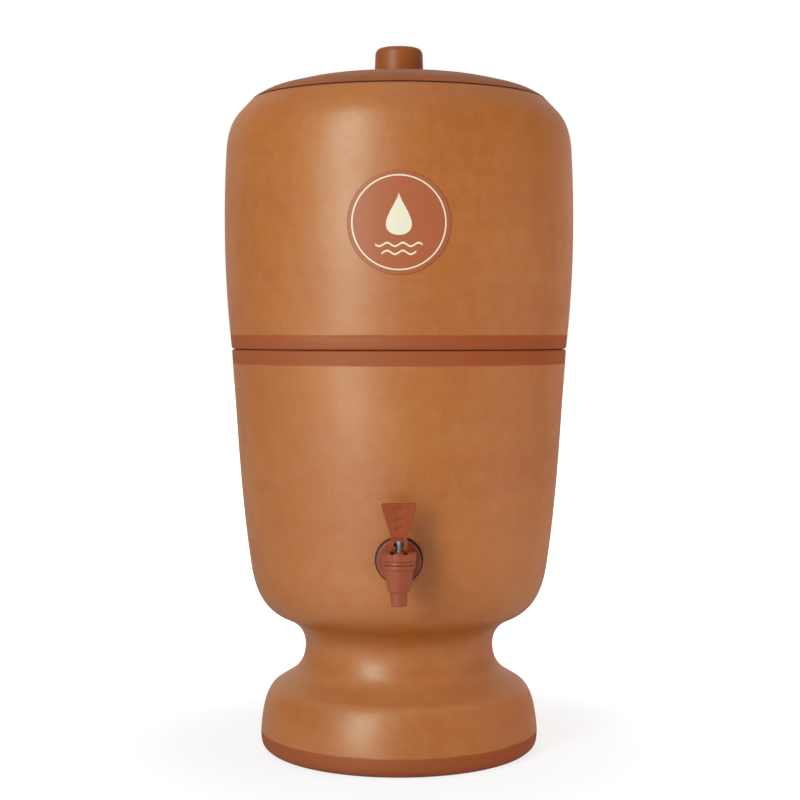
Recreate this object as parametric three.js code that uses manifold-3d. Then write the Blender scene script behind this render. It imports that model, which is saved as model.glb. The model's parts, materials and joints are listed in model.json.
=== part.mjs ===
// Clay water filter: two stacked clay vessels with a lid, two filter candles with float valves, a lever tap.
// Millimetres, +Z up, the tap towards -Y. The origin lies on the ground, under the middle of the outer box.
import * as THREE from 'three';
import { mergeVertices } from 'three/addons/utils/BufferGeometryUtils.js';
import Module from 'manifold-3d';

const manifold = await Module();
manifold.setup();

// Clearances
const SEAT_GAP = 0.3; // between pieces that rest on or clamp each other
const BORE_GAP = 0.3; // around stems, pins and screws in their holes
const SPIGOT_GAP = 2.2; // upper vessel's spigot inside the lower vessel's mouth
const SKIRT_GAP = 1.5; // lid skirt inside the upper vessel's mouth
const TAP_HOLE_GAP = 1; // tap shank in the hole through the clay
const STEM_HOLE_GAP = 1.5; // candle stem in the hole through the floor

// Lower vessel: foot, neck and bowl in one fired piece
const CLAY_WALL = 8.5;
const FOOT_WALL = 12;
const LOWER_FLOOR = 10;
const RIM_EDGE = 2; // rounding of the clay rims
const FOOT_RING_RADIUS = 92.5;
const FOOT_RADIUS = 99.7;
const FOOT_EDGE_HEIGHT = 6;
const FOOT_TOP_RADIUS = 93.5;
const FOOT_HEIGHT = 42.2;
const FOOT_SLOPE_RISE = 16.7;
const NECK_RADIUS = 66.2;
const NECK_RISE = 28.7;
const BOWL_RADIUS = 100.2;
const BOWL_RISE = 13.7;
const BEND_RADIUS = 109.9;
const BEND_RISE = 69.3;
const SEAM_RADIUS = 117.3;
const SEAM_RISE = 110.7;

// Upper vessel
const SPIGOT_DEPTH = 10;
const SPIGOT_WIDTH = 14;
const UPPER_FLOOR = 10;
const FLOOR_ABOVE_SEAM = 6;
const FLOOR_ROUNDING = 9;
const BELLY_RADIUS = 124.7;
const BELLY_RISE = 67.4;
const SHOULDER_RADIUS = 119.6;
const SHOULDER_RISE = 87.3;
const RIM_RADIUS = 102.9;
const RIM_RISE = 17.7;
const RIM_WIDTH = 7.9;

// Lid and its knob
const LID_WALL = 3;
const LID_EDGE_INSET = 9.2; // from the lid's edge to the first bend of the dome
const LID_EDGE_RISE = 6.2;
const LID_BEND_INSET = 29;
const LID_BEND_RISE = 7.6;
const LID_CROWN_RISE = 2.5;
const SKIRT_DEPTH = 12;
const SKIRT_WALL = 2.5;
const KNOB_RADIUS = 17.2;
const KNOB_TAPER = 0.8;
const KNOB_HEIGHT = 20.6;
const KNOB_EDGE = 5;
const SCREW_RADIUS = 2.2;
const SCREW_DEPTH = 12;
const SCREW_HEAD_RADIUS = 4.5;
const SCREW_HEAD_HEIGHT = 2.5;

// Badge on the belly
const BADGE_RADIUS = 33;
const BADGE_THICKNESS = 0.8;
const BADGE_RISE = 81; // its centre above the seam

// Candles, their stems and their nuts
const CANDLE_OFFSET = 48;
const CANDLE_RADIUS = 27;
const CANDLE_HEIGHT = 80;
const CANDLE_WALL = 8;
const CARBON_GAP = 1.5;
const CARBON_HEIGHT = 58;
const SOCKET_RIM = 2;
const SOCKET_DEPTH = 6;
const BASE_THICKNESS = 8;
const STEM_RADIUS = 5;
const STEM_BORE = 2;
const GASKET_RADIUS = 15;
const GASKET_THICKNESS = 3;
const WING_NUT_RADIUS = 10;
const WING_NUT_HEIGHT = 12;
const WING_SPAN = 40;
const WING_THICKNESS = 3.2;

// Float valves under the candle stems
const GUIDE_CLEARANCE = 3; // below the wing nut
const GUIDE_DEPTH = 9;
const GUIDE_WALL = 3;
const GUIDE_CHAMBER = 2;
const GUIDE_PLATE = 2.5;
const DRIP_HOLES = 4;
const DRIP_RADIUS = 1;
const DRIP_CIRCLE = 3.8;
const ROD_RADIUS = 2;
const FLOAT_TRAVEL = 10;
const FLOAT_RADIUS = 22;
const FLOAT_HEIGHT = 24;
const FLOAT_WALL = 1.6;
const SEAL_RADIUS = 7.5;
const SEAL_THICKNESS = 2;
const RETAINER_RADIUS = 5.5;
const RETAINER_THICKNESS = 3;

// Tap body: heights count from the shank axis, reaches from the barrel axis towards the wall
const TAP_RISE = 44.9; // shank axis above the bowl's lower edge
const TAP_REACH = 24.6; // barrel axis in front of the clay
const WASHER_RADIUS = 15.7;
const WASHER_LEAST = 0.9; // thinnest place of the washers that follow the wall
const FLANGE_RADIUS = 14.4;
const FLANGE_THICKNESS = 2.6;
const ARM_RADIUS = 8;
const SHANK_RADIUS = 10.2;
const SHANK_BORE = 3.6;
const SHANK_BORE_DROP = 3.9; // water way below the shank's axis, clear of the bonnet's thread
const LOCK_NUT_FLATS = 27;
const LOCK_NUT_THICKNESS = 7;
const SHANK_SPARE = 3; // thread showing behind the lock nut
const COLLAR_RADIUS = 10.4;
const COLLAR_HEIGHT = 2.7;
const COLLAR_TOP = 0.5;
const BARREL_RADIUS = 9.4;
const BARREL_END_RADIUS = 6.9;
const BARREL_DROP = 17.4; // from the collar's top to the barrel's lower end
const SPOUT_RADIUS = 5.6;
const SPOUT_END_RADIUS = 5.1;
const SPOUT_LENGTH = 9.1;
const OUTLET_RADIUS = 3.4;
const CHAMBER_RADIUS = 6.2;
const CHAMBER_DROP = 9.5;
const THREAD_WALL = 2.3;
const THREAD_HEIGHT = 2.8;

// Tap bonnet, seat cup, stem and spring
const BONNET_WALL = 2.25;
const BONNET_PLATE = 3;
const BONNET_RIBS = 8;
const RIB_RADIUS = 0.7;
const BEAD_HEIGHT = 2.1;
const BEAD_STEP = 0.4;
const SLOT_DEPTH = 0.8;
const CUP_GAP = 1.3; // water way between cup and chamber
const CUP_WALL = 1;
const CUP_FLOOR = 1.8;
const CUP_FLANGE = 1.4;
const TAP_STEM_RADIUS = 2.25;
const STEM_HEAD_HEIGHT = 1.4;
const STEM_ABOVE_PIN = 2.7;
const SPRING_WIRE = 0.5;
const SPRING_TURNS = 5;

// Lever: heights count from its pin
const PIN_RADIUS = 1.1;
const PIN_RISE = 4.4; // pin above the bonnet
const LEVER_TILT = 75; // degrees
const LEVER_LIFT = 2.4; // stem lift at full tilt
const WINDOW_GAP = 0.9; // stem to each leg
const LEG_WIDTH = 2.1;
const LEG_BACK = 2.6;
const WINDOW_RISE = 4;
const PADDLE_START = 5.8;
const PADDLE_HEIGHT = 20.8;
const PADDLE_WIDTH = 22;
const PADDLE_THICKNESS = 3.2;
const PADDLE_CORNER = 2.5;

// Facets
const VESSEL_FACETS = 32;
const SMALL_FACETS = 16; // alike on all small round pieces, so that a hole's facets follow its shaft's
const FOOT_CURVE_STEPS = 8; // along the foot of a lever leg
const CURVE_STEP = 0.55; // radians turned per straight piece of an outline
const CURVE_LENGTH = 34; // longest straight piece of a rounding

// Corner of an outline, rounded over shares of the sides before and after it
function soft(r, z, before, after = before) {
  return { r, z, before, after };
}

// Corner of an outline, rounded over a fixed length of both sides
function edge(r, z, length = 0) {
  return { r, z, length };
}

function sideBetween(from, to) {
  return new THREE.Vector2(to.r - from.r, to.z - from.z);
}

// Points of an open outline: every rounding is a parabola that meets its two sides without a kink
function outline(corners) {
  const points = [];
  corners.forEach((corner, i) => {
    const tip = new THREE.Vector2(corner.r, corner.z);
    const isEnd = i === 0 || i === corners.length - 1;
    if (isEnd || corner.length === 0) {
      points.push(tip);
      return;
    }
    const back = sideBetween(corner, corners[i - 1]);
    const ahead = sideBetween(corner, corners[i + 1]);
    const backShare = corner.before ?? corner.length / back.length();
    const aheadShare = corner.after ?? corner.length / ahead.length();
    const turn = Math.PI - Math.abs(back.angleTo(ahead));
    const bend = new THREE.QuadraticBezierCurve(
      tip.clone().addScaledVector(back, backShare),
      tip,
      tip.clone().addScaledVector(ahead, aheadShare),
    );
    const steps = Math.max(turn / CURVE_STEP, bend.getLength() / CURVE_LENGTH);
    points.push(...bend.getPoints(Math.ceil(steps)));
  });
  return points.filter((point, i) => i === 0 || point.distanceTo(points[i - 1]) > 1e-6);
}

// Chain of corners moved sideways by a wall, to the left of its direction; both ends keep their height
function inset(corners, wall) {
  const normals = corners.slice(1).map((corner, i) => {
    const side = sideBetween(corners[i], corner).normalize();
    return new THREE.Vector2(-side.y, side.x);
  });
  return corners.map((corner, i) => {
    const before = normals[i - 1];
    const after = normals[i];
    if (!before || !after) {
      return { ...corner, r: corner.r + wall / (before ?? after).x };
    }
    const move = before.clone().add(after).multiplyScalar(wall / (1 + before.dot(after)));
    return { ...corner, r: corner.r + move.x, z: corner.z + move.y };
  });
}

// Radius of a rising outline at a height
function radiusAt(points, z) {
  const above = points.findIndex((point) => point.y >= z);
  const low = points[above - 1];
  const high = points[above];
  return low.x + ((high.x - low.x) * (z - low.y)) / (high.y - low.y);
}

// Solid of revolution about a horizontal axis along Y
function turnedAlongY(points, facets = SMALL_FACETS) {
  return new THREE.LatheGeometry(points, facets);
}

// Solid of revolution about the vertical axis
function turned(points, facets = SMALL_FACETS) {
  return turnedAlongY(points, facets).rotateX(Math.PI / 2);
}

// Ring-shaped solid of revolution, its outline closed on itself
function ring(corners, facets = SMALL_FACETS) {
  const points = outline(corners);
  return turned([...points, points[0].clone()], facets);
}

function rodAlongY(radius, from, to, facets = SMALL_FACETS) {
  return new THREE.CylinderGeometry(radius, radius, to - from, facets).translate(0, (from + to) / 2, 0);
}

function rodAlongZ(radius, from, to, facets = SMALL_FACETS) {
  return rodAlongY(radius, from, to, facets).rotateX(Math.PI / 2);
}

function rodAlongX(radius, from, to, facets = SMALL_FACETS) {
  return rodAlongY(radius, from, to, facets).rotateZ(-Math.PI / 2);
}

function box(from, to) {
  const low = new THREE.Vector3(...from);
  const high = new THREE.Vector3(...to);
  const size = high.clone().sub(low);
  const middle = low.add(high).multiplyScalar(0.5);
  return new THREE.BoxGeometry(size.x, size.y, size.z).translate(middle.x, middle.y, middle.z);
}

// Closed body of a geometry, its points joined and its flat slivers left out
function body(geometry) {
  geometry.deleteAttribute('normal');
  geometry.deleteAttribute('uv');
  const joined = mergeVertices(geometry, 1e-4);
  const index = joined.index.array;
  const triangles = [];
  for (let i = 0; i < index.length; i += 3) {
    const [a, b, c] = index.slice(i, i + 3);
    if (a !== b && b !== c && c !== a) {
      triangles.push(a, b, c);
    }
  }
  const mesh = new manifold.Mesh({
    numProp: 3,
    vertProperties: new Float32Array(joined.attributes.position.array),
    triVerts: new Uint32Array(triangles),
  });
  return new manifold.Manifold(mesh);
}

function shapeOf(solid) {
  const mesh = solid.getMesh();
  const geometry = new THREE.BufferGeometry();
  geometry.setAttribute('position', new THREE.BufferAttribute(mesh.vertProperties, 3));
  geometry.setIndex(new THREE.BufferAttribute(mesh.triVerts, 1));
  geometry.computeVertexNormals();
  return geometry;
}

function joined(geometries) {
  return geometries.map(body).reduce((whole, piece) => whole.add(piece));
}

function cut(solid, geometries) {
  return geometries.map(body).reduce((rest, tool) => rest.subtract(tool), solid);
}

// Finishes
const CLAY = { color: 0xb57a4c, roughness: 0.75, metalness: 0 };
const BROWN_PLASTIC = { color: 0x9c5337, roughness: 0.5, metalness: 0 };
const BADGE_FILM = { color: 0xa8593a, roughness: 0.6, metalness: 0 };
const BLACK_RUBBER = { color: 0x1d1c1b, roughness: 0.85, metalness: 0 };
const WHITE_CERAMIC = { color: 0xece7dc, roughness: 0.85, metalness: 0 };
const CARBON = { color: 0x24231f, roughness: 0.9, metalness: 0 };
const WHITE_PLASTIC = { color: 0xe4e2da, roughness: 0.45, metalness: 0 };
const BLUE_PLASTIC = { color: 0x4d7fb0, roughness: 0.45, metalness: 0 };
const SILICONE = { color: 0xd9d4c8, roughness: 0.6, metalness: 0 };
const STEEL = { color: 0x9a9894, roughness: 0.35, metalness: 0.9 };

function piece(name, geometry, finish) {
  const mesh = new THREE.Mesh(geometry, new THREE.MeshStandardMaterial(finish));
  mesh.name = name;
  return mesh;
}

// Heights of the vessels, stacked from the ground
const neckLow = FOOT_HEIGHT + FOOT_SLOPE_RISE;
const neckHigh = neckLow + NECK_RISE;
const bowlEdge = neckHigh + BOWL_RISE;
const bend = bowlEdge + BEND_RISE;
const lowerRim = bend + SEAM_RISE;
const ledge = lowerRim + SEAT_GAP;
const spigotEnd = ledge - SPIGOT_DEPTH;
const upperFloor = ledge + FLOOR_ABOVE_SEAM;
const upperUnderside = upperFloor - UPPER_FLOOR;
const belly = ledge + BELLY_RISE;
const shoulder = belly + SHOULDER_RISE;
const upperRim = shoulder + RIM_RISE;
const lidEdge = upperRim + SEAT_GAP;
const lidBendLow = lidEdge + LID_EDGE_RISE;
const lidBendHigh = lidBendLow + LID_BEND_RISE;
const lidCrown = lidBendHigh + LID_CROWN_RISE;

// Outer outlines of the two vessels, from the bottom up
const footChain = [
  edge(FOOT_RING_RADIUS, 0, RIM_EDGE),
  soft(FOOT_RADIUS, FOOT_EDGE_HEIGHT, 0.6, 0.57),
  soft(FOOT_TOP_RADIUS, FOOT_HEIGHT, 0.43, 0.25),
  soft(NECK_RADIUS, neckLow, 0.43, 0.5),
  soft(NECK_RADIUS, neckHigh, 0.5, 0.48),
];
const bowlChain = [
  soft(BOWL_RADIUS, bowlEdge, 0.52, 0.41),
  soft(BEND_RADIUS, bend, 0.45),
  edge(SEAM_RADIUS, lowerRim, RIM_EDGE),
];
const upperChain = [
  edge(SEAM_RADIUS, ledge, RIM_EDGE),
  soft(BELLY_RADIUS, belly, 0.92, 0.78),
  soft(SHOULDER_RADIUS, shoulder, 0.2, 0.49),
  edge(RIM_RADIUS, upperRim, RIM_EDGE / 2),
];
const lowerChain = [...footChain, ...bowlChain];
const bowlOutside = outline(lowerChain).filter((point) => point.y > neckHigh);
const innerChain = inset(lowerChain, CLAY_WALL);
const bowlInnerEdge = innerChain[footChain.length];
const bowlInside = outline(innerChain).filter((point) => point.y > bowlInnerEdge.z);
const spigotRadius = innerChain.at(-1).r - SPIGOT_GAP;
const mouthRadius = RIM_RADIUS - RIM_WIDTH;

// Tap position: shank axis height, and the barrel axis in front of the wall there
const tapHeight = bowlEdge + TAP_RISE;
const barrelReach = radiusAt(bowlOutside, tapHeight) + TAP_REACH;
const shankHole = SHANK_RADIUS + TAP_HOLE_GAP;

// Turns a piece's place in the vessel into its place in the tap, and back
function intoTap(geometry) {
  return geometry.translate(0, barrelReach, -tapHeight);
}

function intoVessel(geometry) {
  return geometry.translate(0, -barrelReach, tapHeight);
}

function lowerVessel() {
  const hollow = [edge(FOOT_RING_RADIUS - FOOT_WALL, 0), ...inset(footChain, FOOT_WALL).slice(1, -1)];
  const neckInside = NECK_RADIUS - FOOT_WALL;
  const floorTop = neckHigh + CLAY_WALL;
  const ceiling = floorTop - LOWER_FLOOR;
  const bowlCorners = innerChain.slice(footChain.length, -1).reverse();
  const points = outline([
    edge(0, ceiling),
    edge(neckInside, ceiling, RIM_EDGE * 3),
    ...hollow.reverse(),
    ...lowerChain,
    edge(innerChain.at(-1).r, lowerRim, RIM_EDGE),
    ...bowlCorners.map(({ r, z, before, after }) => soft(r, z, after, before)),
    soft(NECK_RADIUS, floorTop, 0.3),
    edge(0, floorTop),
  ]);
  const tapHole = intoVessel(rodAlongY(shankHole, 0, barrelReach));
  return shapeOf(cut(body(turned(points, VESSEL_FACETS)), [tapHole]));
}

function upperVessel() {
  const ringInside = spigotRadius - SPIGOT_WIDTH;
  const inside = inset(upperChain, CLAY_WALL);
  const [innerSeam, innerBelly, innerShoulder] = inside;
  const slope = sideBetween(innerShoulder, inside[3]);
  const lipDrop = ((inside[3].r - mouthRadius) * slope.y) / slope.x;
  const floorRadius = innerSeam.r + ((innerBelly.r - innerSeam.r) * FLOOR_ABOVE_SEAM) / BELLY_RISE;
  const points = outline([
    edge(0, upperUnderside),
    edge(ringInside, upperUnderside, RIM_EDGE),
    edge(ringInside, spigotEnd, RIM_EDGE),
    edge(spigotRadius, spigotEnd, RIM_EDGE),
    edge(spigotRadius, ledge),
    ...upperChain,
    edge(mouthRadius, upperRim, RIM_EDGE / 2),
    edge(mouthRadius, upperRim - lipDrop, RIM_EDGE / 2),
    soft(innerShoulder.r, innerShoulder.z, 0.49, 0.2),
    soft(innerBelly.r, innerBelly.z, 0.75, 0.8),
    edge(floorRadius, upperFloor, FLOOR_ROUNDING),
    edge(0, upperFloor),
  ]);
  const stemHoles = [-CANDLE_OFFSET, CANDLE_OFFSET].map((x) =>
    rodAlongZ(STEM_RADIUS + STEM_HOLE_GAP, spigotEnd, belly).translate(x, 0, 0),
  );
  return shapeOf(cut(body(turned(points, VESSEL_FACETS)), stemHoles));
}

// Thin round badge that follows the belly
function frontBadge() {
  const centre = ledge + BADGE_RISE;
  const skin = outline(upperChain);
  const inner = skin.map((point) => new THREE.Vector2(point.x + SEAT_GAP, point.y));
  const outer = skin.map((point) => new THREE.Vector2(point.x + SEAT_GAP + BADGE_THICKNESS, point.y));
  const loop = [...outer, ...inner.reverse(), outer[0].clone()];
  const shell = body(turned(loop, VESSEL_FACETS));
  const disc = rodAlongY(BADGE_RADIUS, -BELLY_RADIUS * 2, 0, VESSEL_FACETS).translate(0, 0, centre);
  return shapeOf(shell.intersect(body(disc)));
}

function lidShell() {
  const skirtRadius = mouthRadius - SKIRT_GAP;
  const seatRadius = KNOB_RADIUS + SEAT_GAP * 4;
  const dome = [
    edge(RIM_RADIUS, lidEdge, RIM_EDGE / 2),
    soft(RIM_RADIUS - LID_EDGE_INSET, lidBendLow, 0.75, 0.28),
    soft(RIM_RADIUS - LID_EDGE_INSET - LID_BEND_INSET, lidBendHigh, 0.37, 0.2),
    edge(seatRadius, lidCrown),
  ];
  const underBend = inset(dome, LID_WALL)[2];
  const screwHole = SCREW_RADIUS + BORE_GAP;
  return ring(
    [
      edge(screwHole, lidCrown),
      edge(screwHole, lidCrown - LID_WALL),
      edge(seatRadius, lidCrown - LID_WALL),
      soft(underBend.r, underBend.z, 0.2, 0.3),
      edge(skirtRadius - SKIRT_WALL, lidEdge + LID_WALL, RIM_EDGE / 2),
      edge(skirtRadius - SKIRT_WALL, lidEdge - SKIRT_DEPTH),
      edge(skirtRadius, lidEdge - SKIRT_DEPTH, SKIRT_WALL / 2),
      edge(skirtRadius, lidEdge),
      ...dome,
    ],
    VESSEL_FACETS,
  );
}

function lidKnob() {
  const base = lidCrown + SEAT_GAP;
  const top = base + KNOB_HEIGHT;
  const hole = SCREW_RADIUS + BORE_GAP;
  const holeEnd = base + SCREW_DEPTH + BORE_GAP;
  return turned(
    outline([
      edge(0, holeEnd),
      edge(hole, holeEnd),
      edge(hole, base),
      edge(KNOB_RADIUS, base),
      edge(KNOB_RADIUS - KNOB_TAPER, top, KNOB_EDGE),
      edge(0, top),
    ]),
    SMALL_FACETS * 2,
  );
}

function lidKnobScrew() {
  const headTop = lidCrown - LID_WALL - SEAT_GAP;
  const tip = lidCrown + SEAT_GAP + SCREW_DEPTH;
  return turned(
    outline([
      edge(0, headTop - SCREW_HEAD_HEIGHT),
      edge(SCREW_HEAD_RADIUS, headTop - SCREW_HEAD_HEIGHT, SCREW_HEAD_HEIGHT / 3),
      edge(SCREW_HEAD_RADIUS, headTop),
      edge(SCREW_RADIUS, headTop),
      edge(SCREW_RADIUS, tip),
      edge(0, tip),
    ]),
  );
}

// Heights of one candle set, stacked up and down from the floor that it is clamped to
const gasketLow = upperFloor + SEAT_GAP;
const baseLow = gasketLow + GASKET_THICKNESS + SEAT_GAP;
const socketFloor = baseLow + BASE_THICKNESS;
const candleLow = socketFloor + SEAT_GAP;
const wingNutHigh = upperUnderside - SEAT_GAP;
const wingNutLow = wingNutHigh - WING_NUT_HEIGHT;
const guideHigh = wingNutLow - GUIDE_CLEARANCE;
const stemEnd = guideHigh - GUIDE_DEPTH;
const plateHigh = stemEnd - GUIDE_CHAMBER;
const plateLow = plateHigh - GUIDE_PLATE;
const sealHigh = plateLow - SEAT_GAP - FLOAT_TRAVEL;
const floatHigh = sealHigh - SEAL_THICKNESS - SEAT_GAP;
const floatLow = floatHigh - FLOAT_HEIGHT;
const retainerHigh = floatLow - SEAT_GAP;
const rodEnd = retainerHigh - RETAINER_THICKNESS - ROD_RADIUS / 2;
const stemSocket = STEM_RADIUS + BORE_GAP;
const rodSocket = ROD_RADIUS + BORE_GAP;

function candleShell() {
  const top = candleLow + CANDLE_HEIGHT;
  const inside = CANDLE_RADIUS - CANDLE_WALL;
  const domeShare = CANDLE_RADIUS / CANDLE_HEIGHT;
  return turned(
    [
      ...outline([
        edge(inside, candleLow),
        edge(CANDLE_RADIUS, candleLow),
        soft(CANDLE_RADIUS, top, domeShare, 1),
        edge(0, top),
      ]),
      ...outline([
        edge(0, top - CANDLE_WALL),
        soft(inside, top - CANDLE_WALL, 1, inside / CANDLE_HEIGHT),
        edge(inside, candleLow),
      ]),
    ],
  );
}

function candleBase() {
  const socket = CANDLE_RADIUS + SEAT_GAP;
  const socketTop = socketFloor + SOCKET_DEPTH;
  return ring(
    [
      edge(STEM_BORE, stemEnd),
      edge(STEM_RADIUS, stemEnd),
      edge(STEM_RADIUS, baseLow),
      edge(socket + SOCKET_RIM, baseLow, SOCKET_RIM),
      edge(socket + SOCKET_RIM, socketTop),
      edge(socket, socketTop),
      edge(socket, socketFloor),
      edge(STEM_BORE, socketFloor),
    ],
  );
}

function candleCarbon() {
  return rodAlongZ(CANDLE_RADIUS - CANDLE_WALL - CARBON_GAP, candleLow, candleLow + CARBON_HEIGHT);
}

function candleGasket() {
  const high = gasketLow + GASKET_THICKNESS;
  return ring([
    edge(stemSocket, gasketLow),
    edge(GASKET_RADIUS, gasketLow),
    edge(GASKET_RADIUS, high),
    edge(stemSocket, high),
  ]);
}

function wingNut() {
  const nut = rodAlongZ(WING_NUT_RADIUS, wingNutLow, wingNutHigh);
  const wings = box(
    [-WING_SPAN / 2, -WING_THICKNESS / 2, wingNutLow],
    [WING_SPAN / 2, WING_THICKNESS / 2, wingNutHigh - WING_THICKNESS / 2],
  );
  return shapeOf(cut(joined([nut, wings]), [rodAlongZ(stemSocket, wingNutLow - 1, wingNutHigh + 1)]));
}

// Cup on the stem's end with drip holes in its plate, and the rod that the float slides on
function floatGuide() {
  const cup = turned(
    outline([
      edge(0, rodEnd),
      edge(ROD_RADIUS, rodEnd),
      edge(ROD_RADIUS, plateLow),
      edge(stemSocket + GUIDE_WALL, plateLow),
      edge(stemSocket + GUIDE_WALL, guideHigh),
      edge(stemSocket, guideHigh),
      edge(stemSocket, plateHigh),
      edge(0, plateHigh),
    ]),
  );
  const holes = Array.from({ length: DRIP_HOLES }, (_, i) => {
    const angle = ((i + 0.5) * 2 * Math.PI) / DRIP_HOLES;
    const hole = rodAlongZ(DRIP_RADIUS, plateLow - 1, plateHigh + 1, SMALL_FACETS / 2);
    return hole.translate(DRIP_CIRCLE * Math.cos(angle), DRIP_CIRCLE * Math.sin(angle), 0);
  });
  return shapeOf(cut(body(cup), holes));
}

// Bell that traps air, open below, with a tube for the rod
function floatBell() {
  const tube = rodSocket + FLOAT_WALL;
  const ceiling = floatHigh - FLOAT_WALL;
  const inside = FLOAT_RADIUS - FLOAT_WALL;
  return ring(
    [
      edge(rodSocket, floatHigh),
      edge(rodSocket, floatLow),
      edge(tube, floatLow),
      edge(tube, ceiling),
      edge(inside, ceiling, FLOAT_WALL * 2),
      edge(inside, floatLow),
      edge(FLOAT_RADIUS, floatLow),
      edge(FLOAT_RADIUS, floatHigh, FLOAT_WALL * 3),
    ],
  );
}

function floatSeal() {
  const low = sealHigh - SEAL_THICKNESS;
  return ring([
    edge(rodSocket, low),
    edge(SEAL_RADIUS, low),
    edge(SEAL_RADIUS, sealHigh),
    edge(rodSocket, sealHigh),
  ]);
}

function floatRetainer() {
  const low = retainerHigh - RETAINER_THICKNESS;
  return ring([
    edge(rodSocket, low),
    edge(RETAINER_RADIUS, low),
    edge(RETAINER_RADIUS, retainerHigh),
    edge(rodSocket, retainerHigh),
  ]);
}

function candleSet(side, x) {
  const set = new THREE.Group();
  set.position.x = x;
  set.add(
    piece(`candle_shell_${side}`, candleShell(), WHITE_CERAMIC),
    piece(`candle_base_${side}`, candleBase(), WHITE_PLASTIC),
    piece(`candle_carbon_${side}`, candleCarbon(), CARBON),
    piece(`candle_gasket_${side}`, candleGasket(), BLACK_RUBBER),
    piece(`candle_wing_nut_${side}`, wingNut(), WHITE_PLASTIC),
    piece(`float_guide_${side}`, floatGuide(), WHITE_PLASTIC),
    piece(`float_bell_${side}`, floatBell(), BLUE_PLASTIC),
    piece(`float_seal_${side}`, floatSeal(), SILICONE),
    piece(`float_retainer_${side}`, floatRetainer(), WHITE_PLASTIC),
  );
  return set;
}

// Reaches along the tap's shank, from the barrel axis towards the vessel
const washerFront = barrelReach - radiusAt(bowlOutside, tapHeight + WASHER_RADIUS) - SEAT_GAP - WASHER_LEAST;
const flangeBack = washerFront - SEAT_GAP;
const wallInside = radiusAt(bowlInside, tapHeight - WASHER_RADIUS);
const wallChord = Math.sqrt(wallInside ** 2 - WASHER_RADIUS ** 2);
const washerBack = barrelReach - wallChord + SEAT_GAP + WASHER_LEAST;
const lockNutFront = washerBack + SEAT_GAP;
const lockNutBack = lockNutFront + LOCK_NUT_THICKNESS;
const shankEnd = lockNutBack + SHANK_SPARE;
const shankSocket = SHANK_RADIUS + BORE_GAP;

// Heights in the tap's barrel
const barrelEnd = COLLAR_TOP - BARREL_DROP;
const spoutEnd = barrelEnd - SPOUT_LENGTH;
const seat = COLLAR_TOP - CHAMBER_DROP;
const threadTop = COLLAR_TOP + THREAD_HEIGHT;
const threadRadius = CHAMBER_RADIUS + THREAD_WALL;
const bonnetLow = COLLAR_TOP + SEAT_GAP;
const cupFlangeLow = threadTop + SEAT_GAP;
const plateUnder = cupFlangeLow + CUP_FLANGE + SEAT_GAP;
const bonnetTop = plateUnder + BONNET_PLATE;
const bonnetInside = threadRadius + BORE_GAP;
const bonnetRadius = bonnetInside + BONNET_WALL;
const stemSleeve = TAP_STEM_RADIUS + BORE_GAP;
const cupRadius = CHAMBER_RADIUS - CUP_GAP;
const cupInside = cupRadius - CUP_WALL;
const cupLow = seat + SEAT_GAP;
const stemLow = cupLow + CUP_FLOOR + SEAT_GAP;
const stemHeadTop = stemLow + STEM_HEAD_HEIGHT;
const pin = bonnetTop + PIN_RISE;
const pinSocket = PIN_RADIUS + BORE_GAP;

// Lever in its own place: legs beside the stem, standing in the bonnet's slots
const legInside = TAP_STEM_RADIUS + WINDOW_GAP;
const legOutside = legInside + LEG_WIDTH;
const slotFloor = bonnetTop - SLOT_DEPTH;
const footDrop = pin - slotFloor - SEAT_GAP;

function tapBody() {
  const barrel = turned(
    outline([
      edge(0, spoutEnd),
      edge(SPOUT_END_RADIUS, spoutEnd, SPOUT_END_RADIUS / 6),
      edge(SPOUT_RADIUS, barrelEnd),
      edge(BARREL_END_RADIUS, barrelEnd),
      edge(BARREL_RADIUS, COLLAR_TOP - COLLAR_HEIGHT),
      edge(COLLAR_RADIUS, COLLAR_TOP - COLLAR_HEIGHT, COLLAR_HEIGHT / 4),
      edge(COLLAR_RADIUS, COLLAR_TOP),
      edge(threadRadius, COLLAR_TOP),
      edge(threadRadius, threadTop),
      edge(0, threadTop),
    ]),
  );
  const flangeFront = flangeBack - FLANGE_THICKNESS;
  const shank = turnedAlongY(
    outline([
      edge(0, 0),
      edge(ARM_RADIUS, 0),
      edge(ARM_RADIUS, flangeFront, FLANGE_THICKNESS),
      edge(FLANGE_RADIUS, flangeFront, FLANGE_THICKNESS / 3),
      edge(FLANGE_RADIUS, flangeBack),
      edge(SHANK_RADIUS, flangeBack),
      edge(SHANK_RADIUS, shankEnd, BORE_GAP * 3),
      edge(0, shankEnd),
    ]),
  );
  const bonnetRoom = rodAlongZ(bonnetRadius + RIB_RADIUS + SEAT_GAP, COLLAR_TOP, bonnetTop + ARM_RADIUS);
  const whole = cut(body(shank), [bonnetRoom]).add(body(barrel));
  return shapeOf(
    cut(whole, [
      rodAlongZ(CHAMBER_RADIUS, seat, threadTop + 1),
      rodAlongZ(OUTLET_RADIUS, spoutEnd - 1, seat + 1),
      rodAlongY(SHANK_BORE, 0, shankEnd + 1).translate(0, 0, -SHANK_BORE_DROP),
    ]),
  );
}

// A bowl outline joined to the axis at its lowest point and at the rim's height
function closedOnAxis(points) {
  return [new THREE.Vector2(0, points[0].y), ...points, new THREE.Vector2(0, lowerRim)];
}

// Rubber washer in front of the wall: flat towards the flange, curved like the clay behind
function flangeWasher() {
  const disc = rodAlongY(WASHER_RADIUS, washerFront, washerFront + WASHER_RADIUS);
  const clay = bowlOutside.map((point) => new THREE.Vector2(point.x + SEAT_GAP, point.y));
  const solidClay = turned(closedOnAxis(clay), VESSEL_FACETS);
  return shapeOf(cut(body(disc), [intoTap(solidClay), rodAlongY(shankSocket, 0, shankEnd)]));
}

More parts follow.
